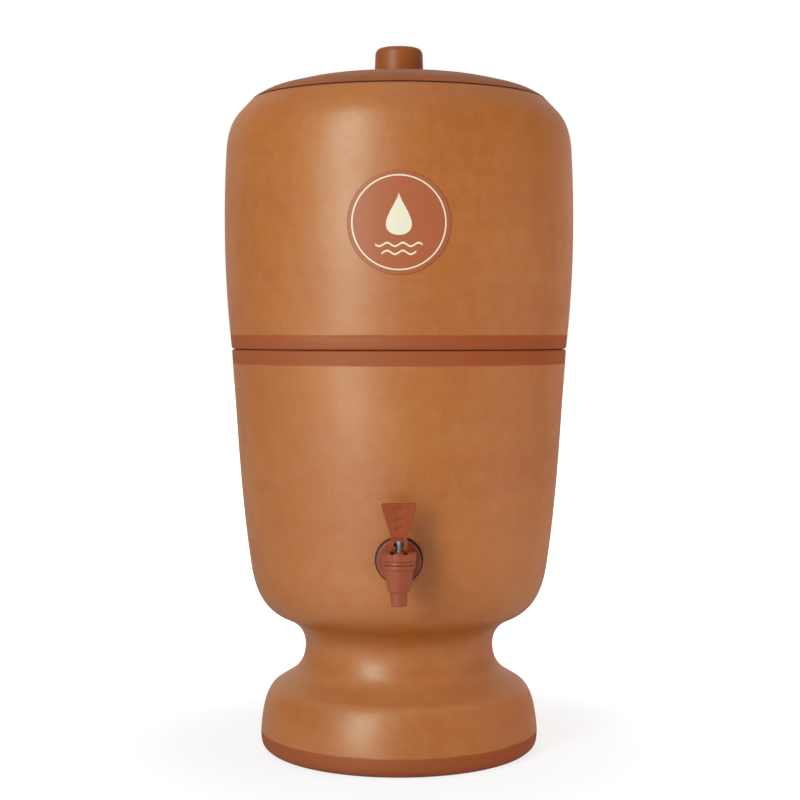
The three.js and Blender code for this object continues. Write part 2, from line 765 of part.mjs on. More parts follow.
// Rubber washer behind the wall: curved like the clay in front, flat towards the lock nut
function innerWasher() {
  const disc = body(rodAlongY(WASHER_RADIUS, washerBack - WASHER_RADIUS, washerBack));
  const room = bowlInside.map((point) => new THREE.Vector2(point.x - SEAT_GAP, point.y));
  const solidRoom = turned(closedOnAxis(room), VESSEL_FACETS);
  const washer = disc.intersect(body(intoTap(solidRoom)));
  return shapeOf(cut(washer, [rodAlongY(shankSocket, 0, shankEnd)]));
}

function lockNut() {
  const hexagon = rodAlongY(LOCK_NUT_FLATS / Math.sqrt(3), lockNutFront, lockNutBack, 6);
  return shapeOf(cut(body(hexagon), [rodAlongY(shankSocket, 0, shankEnd)]));
}

// Cap with grip ribs around it, and two slots across its top for the lever's legs
function tapBonnet() {
  const cap = ring(
    [
      edge(stemSleeve, plateUnder),
      edge(bonnetInside, plateUnder),
      edge(bonnetInside, bonnetLow),
      edge(bonnetRadius - BEAD_STEP, bonnetLow),
      edge(bonnetRadius - BEAD_STEP, bonnetLow + BEAD_HEIGHT),
      edge(bonnetRadius, bonnetLow + BEAD_HEIGHT + BEAD_STEP),
      edge(bonnetRadius, bonnetTop, BEAD_STEP * 2),
      edge(stemSleeve, bonnetTop),
    ],
  );
  const ribs = Array.from({ length: BONNET_RIBS }, (_, i) => {
    const rib = rodAlongZ(RIB_RADIUS, bonnetLow + BEAD_HEIGHT, bonnetTop - BEAD_STEP * 2, 6);
    rib.translate(0, bonnetRadius - RIB_RADIUS / 2, 0);
    return rib.rotateZ(((i + 0.5) * 2 * Math.PI) / BONNET_RIBS);
  });
  const slots = [legInside, -legOutside].map((x) =>
    box(
      [x - BORE_GAP, -bonnetRadius * 2, slotFloor],
      [x + LEG_WIDTH + BORE_GAP, bonnetRadius * 2, bonnetTop + 1],
    ),
  );
  return shapeOf(cut(joined([cap, ...ribs]), slots));
}

// Silicone cup: its floor closes the outlet, its flange is clamped under the bonnet
function seatCup() {
  const flangeTop = cupFlangeLow + CUP_FLANGE;
  return turned(
    outline([
      edge(0, cupLow),
      edge(cupRadius, cupLow, CUP_FLOOR / 2),
      edge(cupRadius, cupFlangeLow),
      edge(threadRadius, cupFlangeLow),
      edge(threadRadius, flangeTop),
      edge(cupInside, flangeTop),
      edge(cupInside, stemLow - SEAT_GAP),
      edge(0, stemLow - SEAT_GAP),
    ]),
  );
}

function tapStem() {
  const top = pin + STEM_ABOVE_PIN;
  const rod = turned(
    outline([
      edge(0, stemLow),
      edge(cupInside - BORE_GAP, stemLow),
      edge(cupInside - BORE_GAP, stemHeadTop),
      edge(TAP_STEM_RADIUS, stemHeadTop),
      edge(TAP_STEM_RADIUS, top, TAP_STEM_RADIUS / 3),
      edge(0, top),
    ]),
  );
  const pinHole = rodAlongX(pinSocket, -legOutside, legOutside).translate(0, 0, pin);
  return shapeOf(cut(body(rod), [pinHole]));
}

class Helix extends THREE.Curve {
  constructor(radius, low, high, turns) {
    super();
    this.radius = radius;
    this.low = low;
    this.high = high;
    this.turns = turns;
  }

  getPoint(t, target = new THREE.Vector3()) {
    const angle = t * this.turns * 2 * Math.PI;
    const z = this.low + (this.high - this.low) * t;
    return target.set(this.radius * Math.cos(angle), this.radius * Math.sin(angle), z);
  }
}

// Coil around the stem, between the stem's head and the bonnet
function tapSpring() {
  const wire = SPRING_WIRE / 2;
  const section = new THREE.Shape();
  section.absarc(0, 0, wire, 0, 2 * Math.PI);
  const radius = (TAP_STEM_RADIUS + cupInside) / 2;
  const path = new Helix(radius, stemHeadTop + SEAT_GAP + wire, plateUnder - SEAT_GAP - wire, SPRING_TURNS);
  return new THREE.ExtrudeGeometry(section, {
    steps: SPRING_TURNS * 12,
    curveSegments: 3,
    bevelEnabled: false,
    extrudePath: path,
  });
}

// Side outline of a leg. Its foot is the curve that keeps touching a flat floor while the pin rises evenly
// with the tilt, so the lever lifts the stem without binding.
function legSide() {
  const rate = LEVER_LIFT / THREE.MathUtils.degToRad(LEVER_TILT);
  const foot = Array.from({ length: FOOT_CURVE_STEPS + 1 }, (_, i) => {
    const tilt = (THREE.MathUtils.degToRad(LEVER_TILT) * i) / FOOT_CURVE_STEPS;
    const drop = footDrop + rate * tilt;
    const y = -drop * Math.sin(tilt) - rate * Math.cos(tilt);
    const z = -drop * Math.cos(tilt) + rate * Math.sin(tilt);
    return new THREE.Vector2(y, z);
  });
  return new THREE.Shape([
    new THREE.Vector2(LEG_BACK, -footDrop),
    new THREE.Vector2(LEG_BACK, WINDOW_RISE / 2),
    new THREE.Vector2(PADDLE_THICKNESS / 2, PADDLE_START),
    new THREE.Vector2(-PADDLE_THICKNESS / 2, PADDLE_START),
    ...foot.reverse(),
  ]);
}

// Front outline of the finger paddle, wider towards its rounded top
function paddleFront() {
  const top = PADDLE_START + PADDLE_HEIGHT;
  const points = outline([
    edge(0, WINDOW_RISE),
    edge(legOutside, WINDOW_RISE),
    soft(legOutside, PADDLE_START, 0.5, 0.2),
    edge(PADDLE_WIDTH / 2, top, PADDLE_CORNER),
    edge(0, top),
  ]);
  const mirrored = points.slice(1, -1).map((point) => new THREE.Vector2(-point.x, point.y));
  return new THREE.Shape([...points, ...mirrored.reverse()]);
}

function tapLever() {
  const paddle = new THREE.ExtrudeGeometry(paddleFront(), { depth: PADDLE_THICKNESS, bevelEnabled: false });
  paddle.rotateX(Math.PI / 2).translate(0, PADDLE_THICKNESS / 2, 0);
  const legs = [legInside, -legOutside].map((x) => {
    const leg = new THREE.ExtrudeGeometry(legSide(), { depth: LEG_WIDTH, bevelEnabled: false });
    return leg.rotateX(Math.PI / 2).rotateZ(Math.PI / 2).translate(x, 0, 0);
  });
  const whole = cut(joined([paddle, ...legs]), [rodAlongX(pinSocket, -PADDLE_WIDTH, PADDLE_WIDTH)]);
  return shapeOf(whole).translate(0, 0, pin);
}

function leverPin() {
  return rodAlongX(PIN_RADIUS, -legOutside, legOutside).translate(0, 0, pin);
}

function tap() {
  const set = new THREE.Group();
  set.position.set(0, -barrelReach, tapHeight);
  set.add(
    piece('tap_body', tapBody(), BROWN_PLASTIC),
    piece('tap_flange_washer', flangeWasher(), BLACK_RUBBER),
    piece('tap_inner_washer', innerWasher(), BLACK_RUBBER),
    piece('tap_lock_nut', lockNut(), BROWN_PLASTIC),
    piece('tap_bonnet', tapBonnet(), BROWN_PLASTIC),
    piece('tap_seat_cup', seatCup(), SILICONE),
    piece('tap_stem', tapStem(), STEEL),
    piece('tap_spring', tapSpring(), STEEL),
    piece('tap_lever', tapLever(), BROWN_PLASTIC),
    piece('tap_lever_pin', leverPin(), STEEL),
  );
  return set;
}

const filter = new THREE.Group();
filter.add(
  piece('lower_vessel', lowerVessel(), CLAY),
  piece('upper_vessel', upperVessel(), CLAY),
  piece('front_badge', frontBadge(), BADGE_FILM),
  piece('lid', lidShell(), BROWN_PLASTIC),
  piece('lid_knob', lidKnob(), BROWN_PLASTIC),
  piece('lid_knob_screw', lidKnobScrew(), STEEL),
  candleSet('left', -CANDLE_OFFSET),
  candleSet('right', CANDLE_OFFSET),
  tap(),
);

// The widest place of the belly and the bonnet's front bound the outer box along Y
const widestRadius = Math.max(...outline(upperChain).map((point) => point.x));
const frontReach = barrelReach + bonnetRadius;
filter.position.y = (frontReach - widestRadius) / 2;

export default filter;
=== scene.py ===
"""Clay water filter dressed around its packed frame: thrown clay vessels, moulded lid, lever tap and candles.

Every surface is worked out from sizes in metres, in the frame's own axes: +Z up, the tap towards -Y.
"""

import json
import math
from collections import namedtuple

import bmesh
import bpy
import numpy as np
from bpy.props import FloatProperty, FloatVectorProperty, PointerProperty
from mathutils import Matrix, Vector

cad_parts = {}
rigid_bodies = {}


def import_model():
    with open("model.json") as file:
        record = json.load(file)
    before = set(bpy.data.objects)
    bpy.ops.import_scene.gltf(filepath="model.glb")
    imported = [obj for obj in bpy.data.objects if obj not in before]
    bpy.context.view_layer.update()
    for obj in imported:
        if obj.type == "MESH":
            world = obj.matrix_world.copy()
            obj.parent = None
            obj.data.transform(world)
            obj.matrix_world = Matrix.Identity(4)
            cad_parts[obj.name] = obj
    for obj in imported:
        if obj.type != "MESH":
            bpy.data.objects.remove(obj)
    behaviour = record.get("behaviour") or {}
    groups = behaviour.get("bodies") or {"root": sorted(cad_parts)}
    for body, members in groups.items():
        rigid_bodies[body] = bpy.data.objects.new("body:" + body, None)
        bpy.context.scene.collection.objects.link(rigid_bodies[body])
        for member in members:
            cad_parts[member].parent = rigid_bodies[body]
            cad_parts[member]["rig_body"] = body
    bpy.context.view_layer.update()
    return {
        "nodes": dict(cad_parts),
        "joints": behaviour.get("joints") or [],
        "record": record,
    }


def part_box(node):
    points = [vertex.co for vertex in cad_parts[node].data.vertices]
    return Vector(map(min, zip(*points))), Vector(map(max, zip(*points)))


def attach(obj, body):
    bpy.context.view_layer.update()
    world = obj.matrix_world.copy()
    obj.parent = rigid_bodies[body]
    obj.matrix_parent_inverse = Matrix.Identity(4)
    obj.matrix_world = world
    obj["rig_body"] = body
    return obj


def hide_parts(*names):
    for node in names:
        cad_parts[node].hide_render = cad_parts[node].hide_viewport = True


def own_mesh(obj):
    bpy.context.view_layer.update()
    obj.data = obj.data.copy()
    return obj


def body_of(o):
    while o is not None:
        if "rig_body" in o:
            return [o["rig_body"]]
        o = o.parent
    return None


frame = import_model()

bl_info = {
    "name": "Clay water filter",
    "version": (1, 0, 0),
    "blender": (4, 5, 0),
    "location": "3D View > Sidebar > Clay filter",
    "description": "Builds a gravity water filter of fired clay around its packed frame",
    "category": "Add Mesh",
}

MM = 0.001
TURN = 2.0 * math.pi
SIDES = ("left", "right")

# Fineness of the grids
BEND_STEPS = 12
VESSEL_COLUMNS = 160
ROUND_COLUMNS = 64
VESSEL_SPACING = 2.4 * MM
SPACING = 0.8 * MM
SAME_POINT = 0.1e-6
SAME_VERTEX = 1e-6
SHARP_ANGLE = 38.0

# Clearances
GAP = 0.3 * MM
PIN_GAP = 0.15 * MM
WASHER_GAP = 0.05 * MM

# Counts of like forms
BASE_FLUTES = 48
GUIDE_FLUTES = 20
DRIP_HOLES = 4
BONNET_RIBS = 8
SPRING_TURNS = 5

# Finger dents on the paddle: height above the pin, half width and half height
DENTS = (
    (22.4 * MM, 4.7 * MM, 2.9 * MM),
    (15.4 * MM, 3.65 * MM, 2.15 * MM),
    (10.2 * MM, 2.75 * MM, 1.5 * MM),
)
DENT_ROUNDNESS = 0.9

# Stage, in metres and degrees
FLOOR_WIDTH = 16.0
FLOOR_GREY = (0.58, 0.58, 0.58)
FLOOR_GLOW = 1.4
WHITE = (1.0, 1.0, 1.0)
WARM_FILL = (1.08, 0.95, 0.86)
COOL_KEY = (0.93, 1.04, 1.03)
CAMERA_LENS = 76.28
CAMERA_DISTANCE = 1.1964
CAMERA_HEIGHT = 0.2941
CAMERA_SHIFT = 0.7 * MM
CAMERA_PITCH = 2.339


def length(label, millimetres, note):
    """Length property, in metres, from its default in millimetres."""
    return FloatProperty(name=label, description=note, default=millimetres * MM, unit="LENGTH", precision=5)


def colour(label, red, green, blue, note):
    """Colour property from a screen colour in 0 to 255, kept as scene-linear light."""
    screen = np.array([red, green, blue]) / 255.0
    light = np.where(screen <= 0.04045, screen / 12.92, ((screen + 0.055) / 1.055) ** 2.4)
    return FloatVectorProperty(name=label, description=note, subtype="COLOR", size=3, min=0.0, max=1.0,
                               default=tuple(float(part) for part in light))


def span(node):
    """Lowest and highest height of a CAD node."""
    low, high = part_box(node)
    return low.z, high.z


def middle(node):
    """Middle of a CAD node's box, seen from above."""
    low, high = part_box(node)
    return (low.x + high.x) / 2, (low.y + high.y) / 2


class VesselSizes(bpy.types.PropertyGroup):
    """Radii and heights of the two clay vessels"""

    foot_ring_radius: length("Foot ring", 92.5, "Radius of the ring that the filter stands on")
    foot_radius: length("Foot", 99.7, "Widest radius of the foot")
    foot_edge_height: length("Foot edge", 6.0, "Height of the foot's widest place")
    foot_top_radius: length("Foot top", 93.5, "Radius where the foot starts to slope in")
    foot_height: length("Foot height", 42.2, "Height where the foot starts to slope in")
    neck_radius: length("Neck", 66.2, "Radius of the neck between foot and bowl")
    neck_low: length("Neck start", 58.9, "Height where the neck starts")
    neck_high: length("Neck end", 87.6, "Height where the neck ends")
    bowl_radius: length("Bowl edge", 100.2, "Radius of the bowl's lower edge")
    bowl_edge: length("Bowl edge height", 101.3, "Height of the bowl's lower edge")
    bend_radius: length("Bowl bend", 109.9, "Radius where the bowl grows steeper")
    bend_height: length("Bowl bend height", 170.6, "Height where the bowl grows steeper")
    seam_radius: length("Seam", 117.3, "Radius where the vessels meet")
    belly_radius: length("Belly", 124.35, "Radius that the belly swells towards")
    belly_rise: length("Belly rise", 67.4, "Belly above the seam")
    shoulder_radius: length("Shoulder", 119.6, "Radius of the shoulder's corner")
    shoulder_rise: length("Shoulder rise", 154.7, "Shoulder's corner above the seam")
    rim_radius: length("Upper rim", 102.9, "Radius of the upper vessel's rim")
    rim_width: length("Rim width", 7.9, "Width of the upper vessel's lip")
    clay_wall: length("Wall", 8.5, "Thickness of the clay walls")
    foot_wall: length("Foot wall", 12.0, "Thickness of the foot's wall")
    floor: length("Floors", 10.0, "Thickness of the two floors")
    rim_edge: length("Rim rounding", 2.0, "Rounding of the clay rims")
    spigot_gap: length("Spigot gap", 2.2, "Upper vessel's ring inside the lower mouth")
    spigot_depth: length("Spigot depth", 10.0, "How far the ring reaches into the lower vessel")
    spigot_width: length("Spigot width", 14.0, "Width of the ring")
    floor_rise: length("Floor rise", 6.0, "Upper vessel's floor above the seam")
    floor_rounding: length("Floor rounding", 9.0, "Rounding inside the upper vessel's floor")
    stem_hole: length("Stem hole", 6.5, "Radius of the holes for the candle stems")
    tap_hole: length("Tap hole", 11.2, "Radius of the hole for the tap")
    band_height: length("Painted band", 10.0, "Height of the darker bands along the seam")
    foot_band: length("Foot band", 13.7, "Height of the darker band around the foot")
    tone_step: length("Tone step", 138.4, "Faint step of tone above the upper vessel's lowest edge")


class LidSizes(bpy.types.PropertyGroup):
    """Sizes of the lid, its knob and the badge"""

    wall: length("Lid wall", 3.0, "Thickness of the lid")
    edge_inset: length("Edge inset", 9.2, "From the lid's edge to the first bend of the dome")
    edge_rise: length("Edge rise", 6.2, "First bend above the edge")
    bend_inset: length("Bend inset", 29.0, "From the first bend to the second")
    bend_rise: length("Bend rise", 7.6, "Second bend above the first")
    skirt_wall: length("Skirt wall", 2.5, "Thickness of the skirt inside the mouth")
    skirt_gap: length("Skirt gap", 1.5, "Skirt to mouth")
    skirt_depth: length("Skirt depth", 12.0, "Skirt below the lid's edge")
    knob_radius: length("Knob", 17.2, "Radius of the knob's foot")
    knob_taper: length("Knob taper", 0.8, "How much narrower the knob's top is")
    knob_edge: length("Knob rounding", 5.0, "Rounding of the knob's top edge")
    screw_radius: length("Screw", 2.2, "Radius of the screw in the knob")
    screw_head: length("Screw head", 4.5, "Radius of the screw's head")
    badge_radius: length("Badge", 33.0, "Radius of the round badge")
    badge_gap: length("Badge gap", 0.1, "Badge's back above the clay")
    badge_thickness: length("Badge thickness", 0.7, "Thickness of the badge")


class CandleSizes(bpy.types.PropertyGroup):
    """Radii of the filter candles and their float valves"""

    shell_radius: length("Candle", 27.0, "Radius of the ceramic candle")
    shell_wall: length("Candle wall", 8.0, "Thickness of the candle")
    base_rim: length("Base rim", 2.3, "Base rim outside the candle")
    socket_depth: length("Socket", 6.0, "Depth of the socket that holds the candle")
    stem_radius: length("Stem", 5.0, "Radius of the threaded stem")
    stem_bore: length("Stem bore", 2.0, "Radius of the stem's bore")
    thread_pitch: length("Thread pitch", 2.0, "Pitch of the moulded threads")
    thread_depth: length("Thread depth", 0.5, "Depth of the moulded threads")
    fit: length("Fit", 0.3, "Clearance around stems and rods")
    gasket_radius: length("Gasket", 15.0, "Radius of the gasket under the base")
    nut_radius: length("Wing nut", 10.0, "Radius of the wing nut's hub")
    wing_span: length("Wings", 40.0, "Width over both wings")
    wing_thickness: length("Wing thickness", 3.2, "Thickness of a wing")
    guide_wall: length("Guide wall", 3.0, "Wall of the cup on the stem's end")
    guide_plate: length("Guide plate", 2.5, "Plate with the drip holes")
    drip_radius: length("Drip hole", 1.0, "Radius of a drip hole")
    drip_circle: length("Drip circle", 3.8, "Radius of the circle of drip holes")
    rod_radius: length("Rod", 2.0, "Radius of the rod that guides the float")
    float_radius: length("Float", 22.0, "Radius of the float bell")
    float_wall: length("Float wall", 1.6, "Wall of the float bell")
    float_rise: length("Float rise", 10.0, "How far a float rises until its seal closes the drip holes")
    seal_radius: length("Seal", 7.5, "Radius of the float's seal")
    retainer_radius: length("Retainer", 5.5, "Radius of the ring under the float")


class TapSizes(bpy.types.PropertyGroup):
    """Sizes of the tap: heights count from the shank's axis"""

    shank_height: length("Shank height", 146.2, "Shank's axis above the ground")
    washer_radius: length("Washer", 15.7, "Radius of the rubber washers")
    flange_radius: length("Flange", 14.4, "Radius of the tap's flange")
    flange_thickness: length("Flange thickness", 2.6, "Thickness of the flange")
    arm_radius: length("Arm", 8.0, "Radius of the arm between barrel and flange")
    shank_radius: length("Shank", 10.2, "Radius of the threaded shank")
    shank_bore: length("Shank bore", 3.6, "Radius of the water way")
    bore_drop: length("Bore drop", 3.9, "Water way below the shank's axis")
    nut_flats: length("Lock nut", 27.0, "Lock nut over its flats")
    thread_pitch: length("Thread pitch", 2.2, "Pitch of the shank's thread")
    thread_depth: length("Thread depth", 0.8, "Depth of the shank's thread")
    collar_radius: length("Collar", 10.4, "Radius of the collar under the bonnet")
    collar_height: length("Collar height", 2.7, "Height of the collar")
    collar_top: length("Collar top", 0.5, "Collar's top above the shank's axis")
    barrel_radius: length("Barrel", 9.4, "Radius of the barrel's top")
    barrel_end_radius: length("Barrel end", 6.9, "Radius of the barrel's lower end")
    barrel_drop: length("Barrel drop", 17.4, "Collar's top to the barrel's lower end")
    spout_radius: length("Spout", 5.6, "Radius of the spout's top")
    spout_end_radius: length("Spout end", 5.1, "Radius of the spout's end")
    spout_length: length("Spout length", 9.1, "Length of the spout")
    outlet_radius: length("Outlet", 3.4, "Radius of the outlet")
    chamber_radius: length("Chamber", 6.2, "Radius of the valve chamber")
    chamber_drop: length("Chamber depth", 9.5, "Depth of the valve chamber")
    thread_radius: length("Bonnet thread", 8.5, "Radius of the thread under the bonnet")
    thread_height: length("Bonnet thread height", 2.8, "Height of the thread under the bonnet")
    bonnet_radius: length("Bonnet", 11.05, "Radius of the bonnet")
    bonnet_wall: length("Bonnet wall", 2.25, "Wall of the bonnet")
    bonnet_plate: length("Bonnet plate", 3.0, "Thickness of the bonnet's top")
    bead_height: length("Bead", 2.1, "Height of the bead around the bonnet's foot")
    bead_step: length("Bead step", 0.4, "Bead inside the bonnet's radius")
    rib_radius: length("Rib", 0.7, "Radius of a grip rib")
    slot_depth: length("Slot depth", 0.8, "Depth of the slots for the lever's legs")
    cup_radius: length("Seat cup", 4.9, "Radius of the silicone cup")
    cup_wall: length("Cup wall", 1.0, "Wall of the silicone cup")
    cup_floor: length("Cup floor", 1.8, "Floor of the silicone cup")
    cup_flange: length("Cup flange", 1.4, "Thickness of the cup's flange")
    stem_radius: length("Stem", 2.25, "Radius of the valve stem")
    stem_head: length("Stem head", 3.6, "Radius of the stem's head")
    head_height: length("Stem head height", 1.4, "Height of the stem's head")
    spring_wire: length("Spring wire", 0.5, "Thickness of the spring's wire")
    pin_height: length("Pin height", 12.7, "Lever's pin above the shank's axis")
    pin_radius: length("Pin", 1.1, "Radius of the lever's pin")
    leg_inside: length("Leg inside", 3.15, "Inner side of a leg from the middle")
    leg_width: length("Leg width", 2.1, "Width of a leg")
    leg_back: length("Leg back", 2.6, "Back of the legs behind the pin")
    foot_drop: length("Leg foot", 4.9, "Leg's foot below the pin")
    lift: length("Stem lift", 2.4, "Stem's lift at full tilt")
    window_rise: length("Window", 4.0, "Top of the gap between the legs above the pin")
    paddle_start: length("Paddle start", 5.8, "Where the paddle starts to widen, above the pin")
    paddle_height: length("Paddle height", 20.8, "Height of the widening paddle")
    paddle_width: length("Paddle width", 23.6, "Width of the paddle's top")
    paddle_thickness: length("Paddle thickness", 3.2, "Thickness of the paddle")
    paddle_corner: length("Paddle corner", 2.5, "Rounding of the paddle's corners")
    paddle_edge: length("Paddle edge", 0.7, "Rounding of the paddle's edges")
    dent_depth: length("Dent depth", 0.7, "Depth of the finger dents")
    ledge_depth: length("Ledge", 0.3, "Step from the paddle down to its base")


class FilterColours(bpy.types.PropertyGroup):
    """Colours of the finishes"""

    clay: colour("Clay", 174, 98, 32, "Fired clay, most of the surface")
    clay_dark: colour("Dark clay", 168, 90, 28, "Fired clay where it burned darker")
    # Pale clay: a thin film in random patches, and also painted sheen on the foot's slope
    clay_pale: colour("Pale clay", 222, 190, 164, "Thin pale film left by the fire")
    band: colour("Painted bands", 147, 60, 0, "Slip painted along the seam and the foot")
    grime: colour("Grime", 104, 44, 28, "Dark line that settles along the lid's edge")
    # Painted shadow: this dark line stands for the shade in the gap where the lid's edge overhangs the rim
    raw_clay: colour("Raw clay", 190, 134, 94, "Unpolished clay inside the vessels")
    lid: colour("Lid plastic", 154, 80, 24, "Moulded plastic of lid and knob")
    tap: colour("Tap plastic", 153, 72, 42, "Moulded plastic of the tap")
    badge: colour("Badge field", 170, 92, 58, "Field of the badge")
    cream: colour("Badge lines", 236, 226, 200, "Printed lines of the badge")
    rubber: colour("Rubber", 40, 20, 19, "Washers and gaskets")
    ceramic: colour("Candle ceramic", 236, 231, 220, "Porous ceramic of the candles")
    carbon: colour("Carbon", 36, 35, 31, "Carbon inside the candles")
    white: colour("White plastic", 228, 226, 218, "Candle bases, nuts and guides")
    blue: colour("Blue plastic", 77, 127, 176, "Float bells")
    silicone: colour("Silicone", 217, 212, 200, "Seat cup and float seals")
    steel: colour("Steel", 168, 166, 162, "Stem, spring and screw")
    # Painted shade: the pin's steel is made dark to stand for the shade between the lever's legs
    blued: colour("Blued steel", 62, 58, 60, "Lever's pin")


Settings = namedtuple("Settings", "vessel lid candle tap colours")


def settings():
    """All property groups, as they stand on the scene."""
    scene = bpy.context.scene
    sizes = scene.vessel_sizes, scene.lid_sizes, scene.candle_sizes, scene.tap_sizes
    return Settings(*sizes, scene.filter_colours)


# Outlines

def soft(r, z, before, after=None):
    """Corner of an outline, rounded over shares of the sides before and after it."""
    return r, z, before, before if after is None else after, None


def edge(r, z, reach=0.0):
    """Corner of an outline, rounded over a fixed length of both sides."""
    return r, z, None, None, reach


def turned_round(corners):
    """The same corners in the other order."""
    return [(r, z, after, before, reach) for r, z, before, after, reach in reversed(corners)]


def outline(corners, spacing=SPACING):
    """Points along the corners. Each corner is the parabola that meets its two sides without a kink, and the
    sides between are filled so that no two points lie further apart than the spacing."""
    tips = np.array([corner[:2] for corner in corners])
    t = np.linspace(0.0, 1.0, BEND_STEPS)[:, None]
    runs = [tips[:1]]
    for i in range(1, len(corners) - 1):
        before, after, reach = corners[i][2:]
        back = tips[i - 1] - tips[i]
        ahead = tips[i + 1] - tips[i]
        if reach is not None:
            before = reach / np.linalg.norm(back)
            after = reach / np.linalg.norm(ahead)
        start = tips[i] + before * back
        end = tips[i] + after * ahead
        runs.append((1 - t) ** 2 * start + 2 * t * (1 - t) * tips[i] + t ** 2 * end)
    runs.append(tips[-1:])
    return filled(np.concatenate(runs), spacing)


def filled(points, spacing):
    """The same polyline, its doubled points dropped and its long sides cut into equal steps."""
    steps = np.linalg.norm(np.diff(points, axis=0), axis=1)
    points = points[np.r_[True, steps > SAME_POINT]]
    steps = steps[steps > SAME_POINT]
    counts = np.ceil(steps / spacing).astype(int)
    travelled = np.r_[0.0, np.cumsum(steps)]
    first = np.repeat(np.cumsum(counts) - counts, counts)
    within = (np.arange(counts.sum()) - first) * np.repeat(steps / counts, counts)
    places = np.r_[np.repeat(travelled[:-1], counts) + within, travelled[-1]]
    return np.column_stack([np.interp(places, travelled, points[:, k]) for k in range(2)])


def inset(corners, wall):
    """Corners moved sideways by a wall, to the left of their direction; both ends keep their height."""
    tips = np.array([corner[:2] for corner in corners])
    sides = np.diff(tips, axis=0)
    sides /= np.linalg.norm(sides, axis=1)[:, None]
    normals = np.column_stack([-sides[:, 1], sides[:, 0]])
    joint = normals[:-1] + normals[1:]
    share = wall / (1.0 + np.sum(normals[:-1] * normals[1:], axis=1))
    moved = tips.copy()
    moved[1:-1] += joint * share[:, None]
    moved[0, 0] += wall / normals[0, 0]
    moved[-1, 0] += wall / normals[-1, 0]
    return [(float(r), float(z), *corner[2:]) for (r, z), corner in zip(moved, corners)]


# Surfaces

def upright(profile, columns=ROUND_COLUMNS, centre=(0.0, 0.0), relief=None):
    """Profile (radius, height) turned about an upright axis: x = cx + r cos a, y = cy + r sin a, z = height.
    The relief, worked out from radius, height and angle, is added to the radius."""
    angle = np.arange(columns) * TURN / columns
    r = profile[:, :1]
    z = profile[:, 1:]
    out = r + (0.0 if relief is None else relief(r, z, angle[None, :]))
    x = centre[0] + out * np.cos(angle)
    y = centre[1] + out * np.sin(angle)
    return np.stack([x, y, z + 0 * angle], axis=-1)


def lying(profile, centre, columns, relief=None):
    """Profile (radius, reach) turned about an axis along Y: x = cx + r cos a, y = reach, z = cz - r sin a."""
    grid = upright(profile, columns, (0.0, 0.0), relief)
    return np.stack([centre[0] + grid[..., 0], grid[..., 2], centre[1] - grid[..., 1]], axis=-1)


def swept(path, across, up, radius, columns=12):
    """Round wire along a path: each point plus radius times (cos a of its across, sin a of its up direction),
    with both ends drawn together on the path."""
    angle = np.arange(columns) * TURN / columns
    ring = np.cos(angle)[None, :, None] * across[:, None] + np.sin(angle)[None, :, None] * up[:, None]
    tube = path[:, None] + radius * ring
    ends = np.repeat(path[[0, -1], None], columns, axis=1)
    return np.concatenate([ends[:1], tube, ends[1:]])


def plate(points, low, high, bevel):
    """Outline (u, v) carried along w from low to high, drawn in by a bevel at both faces and closed towards
    its middle. Gives a grid of (u, v, w)."""
    centre = points.mean(axis=0)
    outward = points - centre
    shrunk = points - bevel * outward / np.linalg.norm(outward, axis=1)[:, None]
    hub = np.broadcast_to(centre, points.shape)
    lower = [(hub, low), (shrunk, low), (points, low + bevel)]
    upper = [(points, high - bevel), (shrunk, high), (hub, high)]
    rows = lower + upper
    return np.stack([np.column_stack([flat, np.full(len(flat), w)]) for flat, w in rows])


def mesh_of(grid, closed_rows=False):
    """Mesh with a quad between each four neighbours of a grid whose columns close into a ring. Doubled points
    at poles and ends are merged, and the faces are turned outwards."""
    rows, columns = grid.shape[:2]
    index = np.arange(rows * columns).reshape(rows, columns)
    above = np.roll(index, -1, axis=0)
    if not closed_rows:
        index = index[:-1]
        above = above[:-1]
    quads = np.stack([index, np.roll(index, -1, axis=1), np.roll(above, -1, axis=1), above], axis=-1)
    quads = quads.reshape(-1, 4)
    mesh = bpy.data.meshes.new("grid")
    mesh.vertices.add(rows * columns)
    mesh.vertices.foreach_set("co", grid.astype(np.float32).ravel())
    mesh.loops.add(quads.size)
    mesh.loops.foreach_set("vertex_index", quads.astype(np.int32).ravel())
    mesh.polygons.add(len(quads))
    mesh.polygons.foreach_set("loop_start", np.arange(0, quads.size, 4, dtype=np.int32))
    mesh.update(calc_edges=True)
    work = bmesh.new()
    work.from_mesh(mesh)
    bmesh.ops.remove_doubles(work, verts=work.verts, dist=SAME_VERTEX)
    bmesh.ops.recalc_face_normals(work, faces=work.faces)
    work.to_mesh(mesh)
    work.free()
    return mesh


def carved(mesh, tools, operation="DIFFERENCE"):
    """Mesh with other closed meshes cut from it, or joined to it."""
    holder = bpy.data.objects.new("carving", mesh)
    bpy.context.scene.collection.objects.link(holder)
    helpers = []
    for tool in tools:
        helper = bpy.data.objects.new("carving_tool", tool)
        bpy.context.scene.collection.objects.link(helper)
        step = holder.modifiers.new("carve", "BOOLEAN")
        step.object = helper
        step.operation = operation
        step.solver = "EXACT"
        helpers.append(helper)
    result = bpy.data.meshes.new_from_object(holder.evaluated_get(bpy.context.evaluated_depsgraph_get()))
    for used in [holder, *helpers]:
        bpy.data.objects.remove(used)
    return result


def bar(inside, outside, low, high, rounding=0.0):
    """Corners of a plain ring or, with nothing inside, of a rod; its outer edges are rounded."""
    return [
        edge(inside, low),
        edge(outside, low, rounding),
        edge(outside, high, rounding),
        edge(inside, high),
    ]


def rod_outline(radius, low, high):
    """Outline of a plain rod."""
    return np.array([[0.0, low], [radius, low], [radius, high], [0.0, high]])


def rod(radius, low, high, centre, columns=48):
    """Closed upright cylinder, used to bore holes."""
    return mesh_of(upright(rod_outline(radius, low, high), columns, centre))


